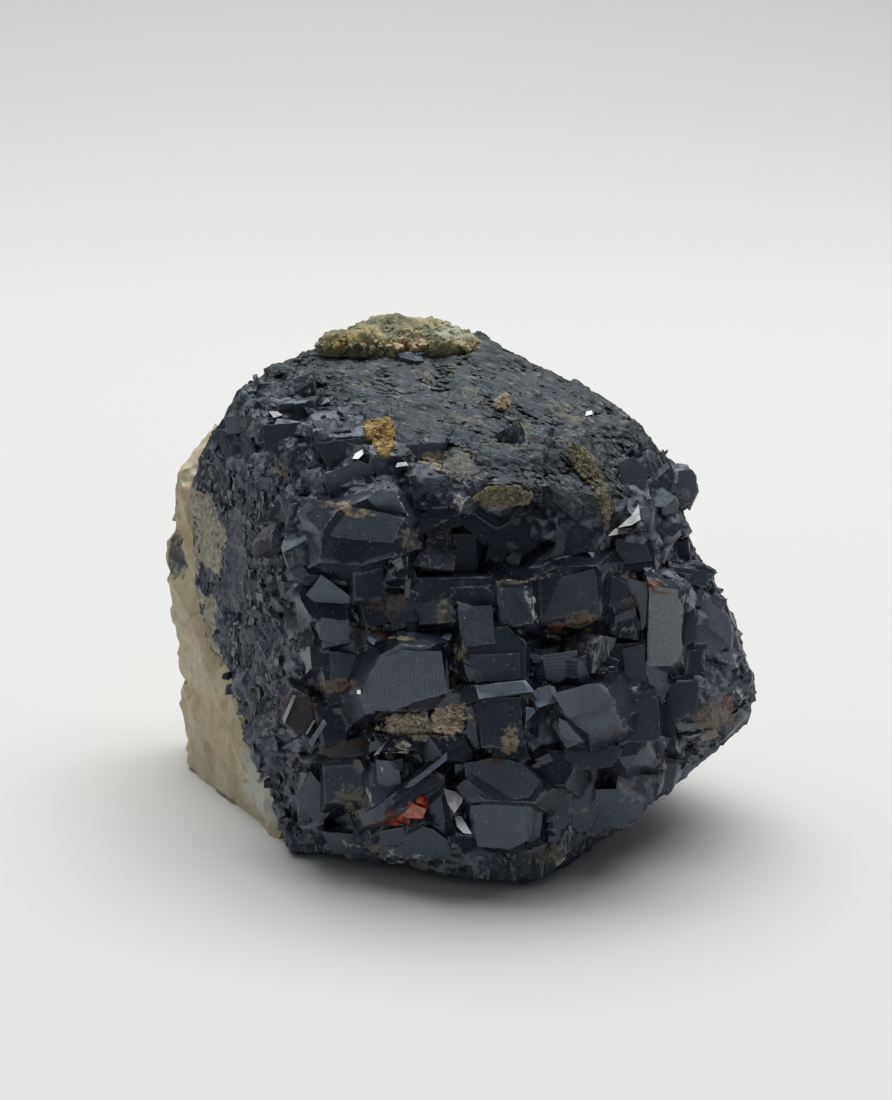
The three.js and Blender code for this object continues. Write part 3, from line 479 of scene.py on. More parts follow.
def bumped(relief, strength, height):
    return add_node("Bump", {"Height": relief, "Strength": strength, "Distance": height}).outputs[0]


def ridge_marks(piece):
    """1 at the ends of every edge that refine() marked as a ridge."""
    marks = np.zeros(len(piece.data.vertices))
    for edge in piece.data.edges:
        if edge.use_edge_sharp:
            marks[list(edge.vertices)] = 1
    return marks


def striae_at(spots, normals):
    """1 where the grooves of a face stand upright, -1 where they are level."""
    upright_grooves = within(UPRIGHT_STRIAE, spots, normals).astype(float)
    return upright_grooves - within(LEVEL_STRIAE, spots, normals)


garnet = piece_from("garnet_mass", "garnet_crystals")
refine(garnet, lit_faces=LIT_FACES)
spots, normals = spots_and_normals(garnet)
ridge = ridge_marks(garnet)
grain = grain_at(spots, normals)
slab = slab_at(spots, normals).astype(float)
clean = within(CLEAN_FACES, spots, normals)
chips = np.clip(wobble(spots, 1.1 * MM, 4) + 0.25, 0, 1) * ridge * CHIP_DEPTH
along_streaks = spots @ STREAK_TURN * [STREAK_STRETCH, 1, 1]
on_slab = (breaks(along_streaks, 0.7 * MM, 0.17 * MM, 0.2, 1) + wobble(spots, 2.1 * MM, 8) * 0.5 * MM
           + wobble(spots, 4.4 * MM, 9) * 0.65 * MM + wobble(spots, 1.1 * MM, 10) * 0.22 * MM)
on_grain = breaks(spots, 0.95 * MM, 0.1 * MM, 0.2, 3) + wobble(spots, 2.6 * MM, 5) * 0.4 * MM
on_broken = breaks(spots, 2.4 * MM, 0.12 * MM, 0.16, 4) + wobble(spots, 1.6 * MM, 6) * 0.12 * MM
on_clean = wobble(spots, 5 * MM, 7) * 0.05 * MM
moved = np.where(grain > 0, np.where(slab > 0, on_slab, on_grain), np.where(clean, on_clean, on_broken))
moved = np.where(spots[:, 2] < LOWEST_MOVED, 0, moved)
marks = {"ridge": ridge * (1 - grain), "grain": grain, "slab": slab, "crevice": crevice_at(spots, normals),
         "striae": striae_at(spots, normals), "broken": (grain == 0) & ~clean}
for name, values in marks.items():
    keep_values(garnet, name, values)
keep_colours(garnet, "stain", stains_at(spots, normals, STAINS))
move_along(garnet, normals, moved - chips)
bpy.ops.object.shade_smooth_by_angle(angle=SMOOTH_BELOW)

# Garnet is nearly black and glassy. Crystal faces differ in tone, and the lit ones are grey from a painted
# reflection. Broken zones are paler and duller. Over them lie hair lines, cracks, worn edges with a painted
# highlight, dirt in clefts, stains, dust with painted glints, and painted shade in the grooves.
DEEP_BLACK, BLUE_BLACK, BROKEN_GREY = (0.0075, 0.0105, 0.019), (0.019, 0.022, 0.033), (0.124, 0.137, 0.163)
LIT_GREY, LIT_BLUE, LIT_GREEN = (0.155, 0.177, 0.222), (0.205, 0.232, 0.285), (0.195, 0.215, 0.205)
SCRATCH, CRACK, WORN_AND_HIGHLIGHT, DIRT = (0.1, 0.1, 0.095), (0.2, 0.165, 0.12), (0.2, 0.19, 0.17), (0.1, 0.07, 0.047)
DUST_AND_GLINT, GROOVE_SHADE = (0.62, 0.62, 0.61), (0.004, 0.005, 0.007)
garnet_look, shader, place = new_look("garnet")
grain_share, slab_share, broken_share = value_of("grain"), value_of("slab"), value_of("broken")
tint = value_of("tint")
cloud = add_noise(place, 3.2 * MM, 4, 1)
speck = add_noise(place, 0.5 * MM, 4, 2)
chipped = add_noise(place, 0.9 * MM, 6, 21)
tone = plus(times(tint, 0.6), times(cloud, 0.6))
face_colour = mix(ramp(tone, 0.3, 0.95), DEEP_BLACK, BLUE_BLACK)
broken_tone = times(times(broken_share, ramp(tone, 0.35, 0.85, 0.1, 1)), ramp(chipped, 0.44, 0.6, 0.06, 1.45))
face_colour = mix(broken_tone, face_colour, BROKEN_GREY)
face_colour = scaled(face_colour, ramp(tint, 0, 1, 0.65, 1.45))
# On the lit faces, whose tint is past 1, the colour is a painted reflection: grey, blue or green instead of
# black.
painted_reflection_colour = mix(ramp(tint, 1.78, 1.88), mix(ramp(cloud, 0.35, 0.7), LIT_BLUE, LIT_GREY), LIT_GREEN)
face_colour = mix(ramp(tint, 1, 2), face_colour, painted_reflection_colour)
face_colour = scaled(face_colour, ramp(add_noise(place, 0.22 * MM, 3, 20), 0.35, 0.65, 0.78, 1.22))
hair = thin_lines(add_noise(mapped(place, Scale=(1, 1, 0.45)), 2.4 * MM, 5, 7), 0.004)
hair = times(hair, ramp(cloud, 0.45, 0.6))
face_colour = mix(times(hair, 0.6), face_colour, SCRATCH)
crack = thin_lines(add_noise(place, 1.7 * MM, 5, 22), 0.007)
crack = times(times(crack, ramp(broken_share, 0, 1, 0.28, 0.7)), ramp(chipped, 0.42, 0.55))
face_colour = mix(crack, face_colour, CRACK)

# The slab is streaked along its grain with grey, blue black and cream. The side is mottled, with pale threads.
SLAB_BLACK, SLAB_GREY, SLAB_BLUE = (0.014, 0.018, 0.021), (0.092, 0.101, 0.095), (0.02, 0.023, 0.032)
SIDE_BLACK, SIDE_GREY, SIDE_BLUE = (0.011, 0.015, 0.024), (0.088, 0.099, 0.124), (0.014, 0.018, 0.028)
STREAK, THREAD, GRAIN_SPECK = (0.25, 0.24, 0.195), (0.25, 0.25, 0.24), (0.18, 0.18, 0.165)
stretched = mapped(mapped(place, Rotation=(-0.15, -0.1, 0.52)), Scale=(STREAK_STRETCH, 1, 1))
streak = add_noise(stretched, 0.42 * MM, 6, 3)
slab_colour = mix(ramp(streak, 0.36, 0.66), SLAB_BLACK, SLAB_GREY)
slab_colour = mix(ramp(add_noise(stretched, 2.2 * MM, 3, 14), 0.54, 0.68, 0, 0.7), slab_colour, SLAB_BLUE)
slab_colour = mix(ramp(streak, 0.6, 0.68), slab_colour, STREAK)
drawn_up = mapped(place, Scale=(1, 1, 0.35))
side_colour = mix(ramp(add_noise(drawn_up, 0.9 * MM, 5, 4), 0.4, 0.68), SIDE_BLACK, SIDE_GREY)
side_colour = mix(ramp(add_noise(drawn_up, 3 * MM, 3, 15), 0.5, 0.62, 0, 0.75), side_colour, SIDE_BLUE)
thread = thin_lines(add_noise(mapped(place, Scale=(1, 1, 0.2)), 1.5 * MM, 4, 16), 0.016)
side_colour = mix(times(thread, 0.7), side_colour, THREAD)
grain_colour = scaled(mix(slab_share, side_colour, slab_colour), ramp(tint, 0, 1, 0.7, 1.3))
grain_colour = mix(ramp(speck, 0.66, 0.76), grain_colour, GRAIN_SPECK)

colour = mix(grain_share, face_colour, grain_colour)
# Pale ridges: partly real wear, partly a painted highlight along the edges.
worn_and_highlight = times(times(ramp(value_of("ridge"), 0.7, 0.92), ramp(speck, 0.41, 0.54)), ramp(cloud, 0.38, 0.55))
colour = mix(times(worn_and_highlight, 0.8), colour, WORN_AND_HIGHLIGHT)
dirt = times(ramp(value_of("crevice"), 0.22, 0.7), ramp(cloud, 0.5, 0.64))
colour = mix(times(dirt, 0.8), colour, DIRT)
stain = add_node("Attribute", attribute_name="stain")
stained = ramp(plus(stain.outputs["Alpha"], ramp(speck, 0.3, 0.7, -0.6, 0.45)), 0.5, 0.9, 0, 0.92)
colour = mix(stained, colour, scaled(stain.outputs["Color"], ramp(speck, 0.35, 0.65, 0.45, 1.15)))
# Pale specks: partly real dust, partly painted glints.
dust_and_glint = add_node("TexVoronoi", {"Vector": place, "Scale": 1 / (0.9 * MM)}).outputs["Distance"]
dust_and_glint = times(ramp(dust_and_glint, 0.078, 0.05), ramp(cloud, 0.4, 0.46))
colour = mix(times(dust_and_glint, 0.8), colour, DUST_AND_GLINT)

rough = ramp(plus(cloud, times(tint, 0.3)), 0.45, 0.95, 0.2, 0.46)
rough = larger(rough, times(grain_share, 0.62))
rough = larger(rough, times(broken_share, ramp(chipped, 0.42, 0.62, 0.42, 0.62)))
rough = larger(larger(rough, times(stained, 0.7)), times(worn_and_highlight, 0.5))
rugged = larger(ramp(grain_share, 0, 1, 0.08, 1), times(broken_share, 0.5))
rugged = plus(rugged, times(slab_share, 0.6))
lump = add_noise(stretched, MM, 5, 23)
relief = plus(times(speck, rugged), times(lump, ramp(slab_share, 0, 1, 0, 2.2)))
relief = plus(relief, times(streak, grain_share))
STRIAE_APART = 0.36 * MM
for direction, sign in (("X", 1), ("Z", -1)):
    inputs = {"Vector": place, "Scale": 0.314 / STRIAE_APART, "Distortion": 2.6, "Detail Scale": 1.5}
    wave = add_node("TexWave", inputs, bands_direction=direction).outputs["Fac"]
    shown = ramp(times(value_of("striae"), sign), 0, 1, 0, 0.25)
    relief = plus(relief, times(wave, shown))
    # The grooves are darkened with painted shade.
    groove_shade = times(ramp(wave, 0.55, 0.9), ramp(shown, 0, 0.25, 0, 0.3))
    colour = mix(groove_shade, colour, GROOVE_SHADE)
connect(colour, shader.inputs["Base Color"])
connect(rough, shader.inputs["Roughness"])
connect(bumped(relief, 1, 0.2 * MM), shader.inputs["Normal"])
shader.inputs["IOR"].default_value = 1.8
shader.inputs["Specular IOR Level"].default_value = 0.36
shader.inputs["Specular Tint"].default_value = (0.7, 0.83, 1, 1)
garnet.data.materials.append(garnet_look)
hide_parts("garnet_mass")
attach(garnet, "root")

# Small garnet crystals: blocky ones under 4 mm fill the band below the slab, the right edge and the back, finer
# ones the clefts, the left side and the rim, and flat grains the slab. They grew with the mass, so each is sunk
# in it, roughly in line with it.
BLOCK_KINDS = 14
TRIES = 40000
FOOT, LOWEST_CORNER = 0.8 * MM, 0.04 * MM
SAME_SIDE = 0.25
CLEAR_OF_EARTH = 1.9
BLOCKY_ON_BROKEN, BLOCKY_ON_SIDE, BLOCKY_IN_CLEFT, BLOCKY_ON_RIM = 0.17, 0.04, 0.12, 0.05
FINE_FROM, FINE_ON_SIDE, FINE_ON_BROKEN = 0.5, 0.92, 0.62
GRAINS_ON_SLAB = 0.8
VIEW_OUTLINE = [(-27, -21), (-28, -12), (-29, -6), (-30, 1), (-29, 10), (-25.3, 17), (-20, 23.6), (-14, 25.3),
                (-5, 26.8), (1, 26.4), (5.5, 25), (9.3, 22.9), (15.8, 20.6), (21.5, 17), (25, 12), (27.6, 10.5),
                (26.8, 4), (29, 0), (32.5, -6.3), (34.2, -13), (33.5, -16.3), (26.3, -20), (24.5, -24),
                (20.5, -27), (14.8, -29), (11, -32.6), (-5, -31.5), (-17, -29.6), (-20.5, -25)]
GOLD_SPOT = [(-8.8, 16.7), (-6.4, 17), (-5.6, 15.8), (-5.8, 14.4), (-6.3, 13.2), (-7.2, 13.1), (-7.6, 14.2),
             (-8.6, 15.2)]
BROW_LENS = [(3, 8.4), (5, 9.7), (7.5, 9.7), (9.3, 8.7), (8.6, 7.9), (5.5, 7.5)]
BROW_STREAK = [(13, 14.3), (14.5, 14.2), (16.3, 12), (17.2, 9.5), (17.9, 6.5), (17.4, 5), (16.6, 8), (15.6, 10),
               (14, 11.8)]
SLAB_SPOT = [(5.3, 18.2), (6.4, 19.6), (7.1, 19), (6.6, 18)]


def from_edge(outline, across, up):
    """How far each place in the view lies from an outline, in millimetres."""
    places = np.stack([across, up], axis=1)
    nearest = np.full(len(across), np.inf)
    for start, end in zip(outline, outline[1:] + outline[:1]):
        start, edge = np.array(start), np.subtract(end, start)
        share = np.clip((places - start) @ edge / (edge @ edge), 0, 1)
        nearest = np.minimum(nearest, np.linalg.norm(places - start - share[:, None] * edge, axis=1))
    return nearest


def block_shape(dice):
    """A cube with eight random corners or edges cut off, as corners and faces."""
    bpy.ops.object.select_all(action="DESELECT")
    bpy.ops.mesh.primitive_cube_add(size=2)
    block = bpy.context.object
    bpy.ops.object.mode_set(mode="EDIT")
    for _ in range(8):
        cut = dice.normal(size=3)
        cut /= np.linalg.norm(cut)
        place = cut * dice.uniform(0.66, 1.1)
        bpy.ops.mesh.select_all(action="SELECT")
        bpy.ops.mesh.bisect(plane_co=place, plane_no=cut, use_fill=True, clear_outer=True)
    bpy.ops.object.mode_set(mode="OBJECT")
    corners = np.array([vertex.co[:] for vertex in block.data.vertices])
    faces = [list(polygon.vertices) for polygon in block.data.polygons]
    bpy.data.objects.remove(block)
    return corners, faces


def scatter_spots(node, tries, dice):
    """Random points on a solid, spread evenly over its area, with the normals there."""
    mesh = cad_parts[node].data
    mesh.calc_loop_triangles()
    corners = np.array([[mesh.vertices[index].co[:] for index in triangle.vertices]
                        for triangle in mesh.loop_triangles])
    crossed = np.cross(corners[:, 1] - corners[:, 0], corners[:, 2] - corners[:, 0])
    area = np.linalg.norm(crossed, axis=1)
    chosen = dice.choice(len(area), size=tries, p=area / area.sum())
    first, second = dice.random(tries), dice.random(tries)
    flip = first + second > 1
    first[flip], second[flip] = 1 - first[flip], 1 - second[flip]
    spots = (corners[chosen, 0] + (corners[chosen, 1] - corners[chosen, 0]) * first[:, None]
             + (corners[chosen, 2] - corners[chosen, 0]) * second[:, None])
    return spots, crossed[chosen] / area[chosen, None]


def settled(spots, normals, reach):
    """Each point moved to the mean level around it, with the mean normal there."""
    tree = tree_among(spots)
    level_spots, level_normals = spots.copy(), normals.copy()
    for index, (spot, normal) in enumerate(zip(spots, normals)):
        near = [found[1] for found in tree.find_range(spot, reach)]
        near = [found for found in near if normals[found] @ normal > SAME_SIDE]
        mean = normals[near].mean(axis=0)
        level_normals[index] = mean / np.linalg.norm(mean)
        level_spots[index] += level_normals[index] * ((spots[near].mean(axis=0) - spot) @ level_normals[index])
    return level_spots, level_normals


def new_piece(name, corners, faces):
    mesh = bpy.data.meshes.new(name)
    mesh.from_pydata(corners, [], faces)
    piece = bpy.data.objects.new(name, mesh)
    bpy.context.collection.objects.link(piece)
    return piece


def joined_blocks(name, spots, normals, sizes, scale, heights, along, spread, dice):
    """One mesh of blocks that stand in the surface in line with a direction, and the corner count of each."""
    all_corners, all_faces, counts, start = [], [], [], 0
    for spot, normal, size, height in zip(spots, normals, sizes, heights):
        corners, faces = kinds[dice.integers(BLOCK_KINDS)]
        across = np.cross(normal, along)
        across /= np.linalg.norm(across)
        axes = np.array([np.cross(across, normal), across, normal])
        lean = np.array(Euler(dice.normal(size=3) * spread).to_matrix())
        half_sizes = size * np.array(scale) * (1 + (dice.random(3) - 0.5) * 0.5)
        placed = (corners * half_sizes) @ lean @ axes + spot + normal * (height - half_sizes[2])
        placed[:, 2] = np.maximum(placed[:, 2], LOWEST_CORNER)
        all_corners.append(placed)
        all_faces += [[start + corner for corner in face] for face in faces]
        counts.append(len(corners))
        start += len(corners)
    return new_piece(name, np.concatenate(all_corners).tolist(), all_faces), counts


dice = np.random.default_rng(SEED + 2)
kinds = [block_shape(dice) for _ in range(BLOCK_KINDS)]
spots, normals = scatter_spots("garnet_mass", TRIES, dice)
level_spots, level_normals = settled(spots, normals, 1.7 * MM)
crevice = crevice_at(spots, normals)
grain = grain_at(spots, normals)
slab = slab_at(spots, normals)
side = within(LEFT_SIDE, spots, normals)
clean = within(CLEAN_FACES, spots, normals)
shown = in_view(spots, normals)
broken = ~slab & ~side & ~clean & (spots[:, 2] > FOOT)
luck = dice.random(len(spots))

# Where blocky and fine crystals may stand. Both keep off the earth fillings and the cream border on the left.
across, up = as_seen(spots)
inward = from_edge(VIEW_OUTLINE, across, up)
earthy = np.zeros(len(spots), dtype=bool)
for outline in (GOLD_SPOT, BROW_LENS, BROW_STREAK, SLAB_SPOT):
    earthy |= inside(outline, across, up) | (from_edge(outline, across, up) < CLEAR_OF_EARTH)
left_border = (across < -21.5) | shown & (across < -15.4) & (up < 2)
by_crust = np.abs(across + 4)
rim = slab & (inward < 2.6) & (by_crust > 10.5)
blocky = ~left_border & (broken & (luck < BLOCKY_ON_BROKEN) | side & (luck < BLOCKY_ON_SIDE))
blocky |= clean & (crevice > 0.4) & (luck < BLOCKY_IN_CLEFT) | rim & (luck < BLOCKY_ON_RIM)
blocky &= ~earthy & ~(shown & (up > 21.5) & (by_crust < 9))
in_cleft = FINE_FROM + 0.5 * np.clip(crevice * 1.6 - 0.8, 0, 1)
fine = side & (luck < FINE_ON_SIDE) | clean & (luck < in_cleft) | broken & (luck < FINE_ON_BROKEN)
fine &= (luck > FINE_FROM) & (spots[:, 2] > FOOT) & ~earthy
fine &= ~(shown & (across < -22) & (stains_at(spots, normals, STAINS)[:, 3] > 0.35))
flat = slab & (luck < GRAINS_ON_SLAB)
share = np.where(side, 0.45, np.where(clean, 0.55, np.where(shown & (up > 8), 0.62, 1)))
share *= np.clip(inward / 3.6, 0.28, 1)

# Name, places, smallest and largest half size in mm, how much the small ones outnumber the large ones, the share
# of that size in each place, proportions, how far they stand out in mm, the direction that they follow, and how
# far they stray from it.
UPRIGHT = [0.05, 0.1, 1]
GROUPS = [
    ("blocky_crystals", blocky, 0.45, 1.9, 1.5, share, [1, 1.15, 0.8], 0.14, UPRIGHT, 0.26),
    ("small_crystals", fine, 0.26, 0.8, 1.8, np.ones(TRIES), [1, 1, 0.8], 0.12, UPRIGHT, 0.28),
    ("slab_grains", flat, 0.16, 0.5, 1.5, np.ones(TRIES), [1.6, 0.8, 0.5], 0.05, STREAK_TURN[:, 0], 0.15),
]
for name, places, smallest, largest, power, size_share, scale, height, along, spread in GROUPS:
    chosen = np.flatnonzero(places)
    sizes = (smallest + (largest - smallest) * dice.random(len(chosen)) ** power) * MM * size_share[chosen]
    heights = height * dice.uniform(-1, 1.6, len(chosen)) * np.where(side[chosen], 1.6, 1) * MM
    group, counts = joined_blocks(name, level_spots[chosen], level_normals[chosen], sizes, scale, heights, along,
                                  spread, dice)
    marks = {"grain": np.where(side, grain * 0.45, grain)[chosen], "broken": broken[chosen],
             "slab": slab[chosen], "crevice": crevice[chosen] * 0.6, "tint": dice.random(len(chosen))}
    for mark, values in marks.items():
        keep_values(group, mark, np.repeat(values, counts))
    keep_colours(group, "stain", np.repeat(stains_at(spots[chosen], normals[chosen], STAINS), counts, axis=0))
    group.data.materials.append(garnet_look)
    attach(group, "root")

# Red crystal: one thin clear garnet low on the display side, through which the light shows orange red.
# It grew in a row of small grains, sunk in the black mass.
RED_AT = [(-3.3, -25.4), (-4.6, -26.2), (-5.6, -26.6), (-2.6, -24.4)]
RED_SIZES = np.array([0.9, 0.6, 0.5, 0.45]) * MM
TO_RIGHT = [0.5, 0, 1]
EMBER, BLOOD = (0.85, 0.17, 0.06), (0.3, 0.02, 0.01)
dice = np.random.default_rng(SEED + 3)
red_spots = [np.array(garnet_tree.ray_cast(Vector(EYE), Vector(sight_of(*place)))[0]) for place in RED_AT]
red, _ = joined_blocks("red_crystal", red_spots, [TOWARD] * len(RED_AT), RED_SIZES, [1, 1.2, 0.6],
                       RED_SIZES * 0.8, TO_RIGHT, 0.25, dice)
red_look, shader, place = new_look("red_garnet")
connect(mix(ramp(add_noise(place, 0.9 * MM), 0.4, 0.65), EMBER, BLOOD), shader.inputs["Base Color"])
shader.inputs["Roughness"].default_value = 0.15
shader.inputs["IOR"].default_value = 1.8
shader.inputs["Transmission Weight"].default_value = 0.35
red.data.materials.append(red_look)
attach(red, "root")

# Crystal faces: the larger flat faces of the display side, each the front of a crystal sunk in the mass. They are
# listed as seen, with how much light each sends back, painted into its colour as a painted reflection: the lit
# ones stand upright, and the dark ones lean back.
CRYSTAL_FACES = [
    (0, [(5.9, -1.3), (7.4, -1.2), (9.1, -1.1), (9.15, -5.2), (7.4, -5.6), (6.1, -3)]),
    (0.08, [(9.4, -1), (12.6, -0.1), (16.2, 0.7), (16.8, -3.7), (13.3, -4.4), (9.7, -5.3)]),
    (0, [(17.1, 0.6), (19.7, -0.7), (19.8, -2.5), (17.4, -3.7)]),
    (0.32, [(18.4, 0.1), (22, -0.8), (22, -4.9), (21.4, -6), (20.8, -3.4), (19.9, -2.6)]),
    (0.2, [(17.6, -4.4), (20.5, -3.2), (21.4, -5.9), (18.9, -6.8), (17.9, -5.7)]),
    (0.9, [(22.1, -1.2), (25.3, -1.4), (25.3, -9.4), (22, -9.4)]),
    (0.2, [(10.5, -8.7), (14.3, -8.1), (14.2, -10.4), (12.4, -11.6), (10.9, -11.3)]),
    (0.4, [(8.9, -8.3), (10.4, -8.7), (10.7, -9.5), (9.5, -9.5)]),
    (0.55, [(3.4, -12), (8.4, -11.5), (9.1, -12.7), (3.9, -13.2)]),
    (0.4, [(9.3, -12.6), (11.4, -11.8), (11.4, -13.6), (10.2, -14.1)]),
    (0.3, [(11.5, -12.8), (16.1, -11.7), (18.6, -13.6), (18.4, -15), (15.5, -16.7), (13, -15.3)]),
    (0.35, [(12.3, -15.5), (15.3, -17), (15.1, -17.7), (13.4, -18.1), (12.3, -17.3)]),
    (0.14, [(15.4, -17.4), (19.4, -18.8), (18.2, -20.8), (14.6, -21.2), (12.6, -19.6), (13.4, -18.4)]),
    (0.3, [(8.6, -14.2), (10.1, -14.5), (8.7, -16)]),
    (0.16, [(2, -20.4), (5.6, -19.8), (8.4, -20.4), (10.2, -22.4), (9, -24.2), (4, -24.6), (2.2, -23.2)]),
    (0.19, [(2.7, -25), (8.7, -24.6), (9, -28.8), (6.8, -29.8), (3.4, -29.5)]),
    (0.26, [(11.2, -23.4), (19.3, -23.2), (21.8, -24.8), (21.1, -26.3), (15.2, -28.2), (13.2, -26)]),
    (0.35, [(-16.3, 6.6), (-13.8, 5.2), (-12.5, 5.7), (-15, 8.2)]),
    (0.3, [(-13.6, 0.1), (-11.7, -1.3), (-9.8, -2.7), (-10.5, -4.6), (-13.6, -3.5), (-15.3, -2.1)]),
    (0.2, [(-13.6, -4.6), (-10.5, -4.9), (-10.8, -6.9), (-11.9, -7.4), (-13.9, -6.9)]),
    (0.3, [(-16.2, 1.8), (-15, 1.6), (-14.6, -0.1), (-15.6, -0.3)]),
    (0, [(-4.7, 2.9), (-1, 4.4), (3.2, 4.6), (3.7, -0.2), (-2.7, -0.8), (-4.3, 1)]),
    (0.35, [(-6, 1.5), (-4.9, 2.1), (-4.4, 0.4), (-5.2, 0.6)]),
    (0.3, [(-4.5, -0.4), (-3.8, -0.4), (-4, -2.4), (-4.5, -2.4)]),
    (0.3, [(-9, -14.4), (-9, -12), (-6.9, -9), (-5, -8.1), (-0.5, -8.2), (0.2, -12.8), (-5, -14.2)]),
    (0.1, [(-16.7, -12.4), (-14.3, -13.9), (-14, -15.6), (-15.6, -17.4), (-17.5, -16.1), (-17.1, -13.6)]),
    (0.6, [(-13.3, -15.6), (-13, -16.1), (-14.6, -18.7), (-15, -18.1)]),
    (0.12, [(-14.2, -19.2), (-9.4, -17.5), (-8.4, -18.1), (-8.4, -19.5), (-12.2, -19.9)]),
    (0.2, [(-14.7, -21.4), (-13.3, -23.1), (-12.3, -25.3), (-13.6, -27), (-16.1, -25.3), (-16.5, -23.9)]),
    (0.22, [(-7.7, -20), (-5.2, -20.3), (-4.9, -22.6), (-7.4, -23.1)]),
    (0.4, [(0.1, -19.2), (0.1, -20.1), (-6.9, -25.4), (-7.3, -25.1)]),
    (0, [(0, -20.4), (0, -22.2), (-6.8, -26.2), (-6.9, -25.7)]),
    (0.19, [(-7.2, -27.8), (-3.5, -27), (-1.3, -27.6), (0.9, -29.3), (0.4, -30.9), (-5.2, -30.7), (-7.4, -29.3)]),
    (0.22, [(-13.6, -27.8), (-10, -28.1), (-8, -28.7), (-8, -30.2), (-12.2, -30.2)]),
    (0.34, [(27.3, -2), (29.7, -3.4), (31.2, -5.7), (31, -7.9), (29.3, -8.8), (27.6, -7.4)]),
    (0.1, [(25.6, -2.5), (27.1, -2.3), (27.4, -7), (25.6, -7.9)]),
    (0.4, [(28.4, -8.6), (31.2, -8.2), (31.6, -10.2), (29.3, -10.6)]),
    (0, [(23.9, -12), (27.6, -11.1), (27.4, -15.2), (24.3, -16.1)]),
    (0.4, [(24.7, -15.9), (27.2, -16), (27, -17), (25.2, -16.8)]),
    (0.3, [(25.3, 11.4), (26.8, 11.6), (27.3, 10.8), (27.3, 8.9), (26.6, 7), (25.3, 7.9)]),
    (0.08, [(24.3, 1), (28.4, 0.5), (28.6, -1.2), (24.3, -0.6)]),
    (0.2, [(24.3, 3.4), (26.5, 3.8), (26.6, 1.5), (24.3, 1.2)]),
    (0.12, [(18.4, 3.9), (21.6, 4.3), (22.5, 1.6), (18.8, 1.1)]),
    (0.38, [(-24.2, 17.4), (-20.7, 17.3), (-20.4, 15.8), (-24, 15.4)]),
    (0.03, [(-20, 16.4), (-14.6, 16.8), (-14.3, 15.4), (-17.6, 12.7), (-19.7, 13.8)]),
    (0, [(-14.6, 14.4), (-8.9, 15.1), (-10.9, 12), (-12.9, 12)]),
    (0.22, [(-13.3, 11), (-9.5, 12.6), (-6.8, 11.4), (-8.2, 8.8), (-12.9, 9)]),
    (0.14, [(-4.4, 14.2), (0.2, 14.6), (-0.7, 11.4), (-3.6, 11.8)]),
    (0.16, [(-16.1, 8.6), (-12.5, 7.9), (-8.5, 7.2), (-4.4, 6.3), (-5.8, 3.5), (-13.3, 4.3), (-15.3, 6.4)]),
    (0.3, [(-8.8, 8.5), (-5.8, 9.3), (-4.1, 6.7), (-7.5, 7.3)]),
    (0.14, [(18.7, 12.4), (20.4, 13), (22.1, 11.4), (21.7, 9.3), (19.4, 8.6)]),
    (0.36, [(22.4, 12.5), (24.6, 12), (25.2, 9.8), (23.1, 10)]),
    (0.12, [(-12.8, -8.2), (-9.8, -8.6), (-9.6, -11.6), (-12.6, -11.4)]),
    (0.1, [(1.2, -3.4), (5, -3.2), (5.4, -7.4), (1.8, -7.8)]),
    (0.04, [(2.6, -8.6), (8, -8.4), (8.2, -11.2), (3.2, -11.7)]),
    (0.18, [(19.2, -8), (21.6, -7.4), (21.8, -11.6), (19.6, -12.4)]),
    (0, [(3.4, -13.6), (8.2, -13.2), (8.4, -18.6), (3.8, -18.8)]),
    (0.02, [(19, -13.2), (23, -12.2), (23.4, -18), (19.6, -18.2)]),
]
trees = [garnet_tree, tree_of("tan_grains_left"), tree_of("tan_grains_right")]


def meet(across, up):
    """The nearest point of the solids on the way to a place in the view, if there is one."""
    sight = Vector(sight_of(across, up))
    met = [tree.ray_cast(Vector(EYE), sight) for tree in trees]
    met = [hit for hit in met if hit[0] is not None]
    return np.array(min(met, key=lambda hit: hit[3])[0]) if met else None


def on_plane(across, up, spot, normal):
    """Where the way to a place in the view meets the plane through a point."""
    sight = sight_of(across, up)
    return EYE + sight * ((spot - EYE) @ normal) / (sight @ normal)


# Fronts that send back less light than this lean back.
LEANS_BACK_BELOW = 0.18


def faces_as_seen(name, rows, lift, depth, dice, normal=None):
    """One mesh of sunk blocks whose fronts have the given outlines in the view, with each front's own light as a
    painted reflection in its tint.
    """
    corners, faces, lights = [], [], []
    for light, outline in rows:
        outline = np.array(outline)
        centre = outline.mean(axis=0)
        probes = [meet(*(centre + (spot - centre) * 0.6)) for spot in outline] + [meet(*centre)]
        level = np.percentile([(probe - EYE) @ TOWARD for probe in probes if probe is not None], 62)
        front = on_plane(*centre, EYE + TOWARD * (level + lift), TOWARD)
        slant = np.radians(dice.uniform(-10, 4) if light > LEANS_BACK_BELOW else dice.uniform(14, 30))
        turn = np.radians(dice.uniform(-14, 14))
        facing = np.array([np.sin(turn) * np.cos(slant), -np.cos(turn) * np.cos(slant), np.sin(slant)])
        if normal is not None:
            facing = normal
        start, count = len(corners), len(outline)
        foot = front - TOWARD * depth
        corners += [on_plane(*spot, front, facing) for spot in outline]
        corners += [on_plane(*(centre + (spot - centre) * 0.9), foot, TOWARD) for spot in outline]
        faces.append([start + index for index in range(count)])
        faces.append([start + count + index for index in reversed(range(count))])
        faces += [[start + (index + 1) % count, start + index, start + count + index,
                   start + count + (index + 1) % count] for index in range(count)]
        lights += [light] + [0.1] * (count + 1)
    piece = new_piece(name, np.array(corners).tolist(), faces)
    layer = piece.data.attributes.new("tint", "FLOAT", "FACE")
    layer.data.foreach_set("value", 1 + np.array(lights))
    select_only(piece)
    bpy.ops.object.mode_set(mode="EDIT")
    bpy.ops.mesh.select_all(action="SELECT")
    bpy.ops.mesh.normals_make_consistent(inside=False)
    bpy.ops.object.mode_set(mode="OBJECT")
    return piece


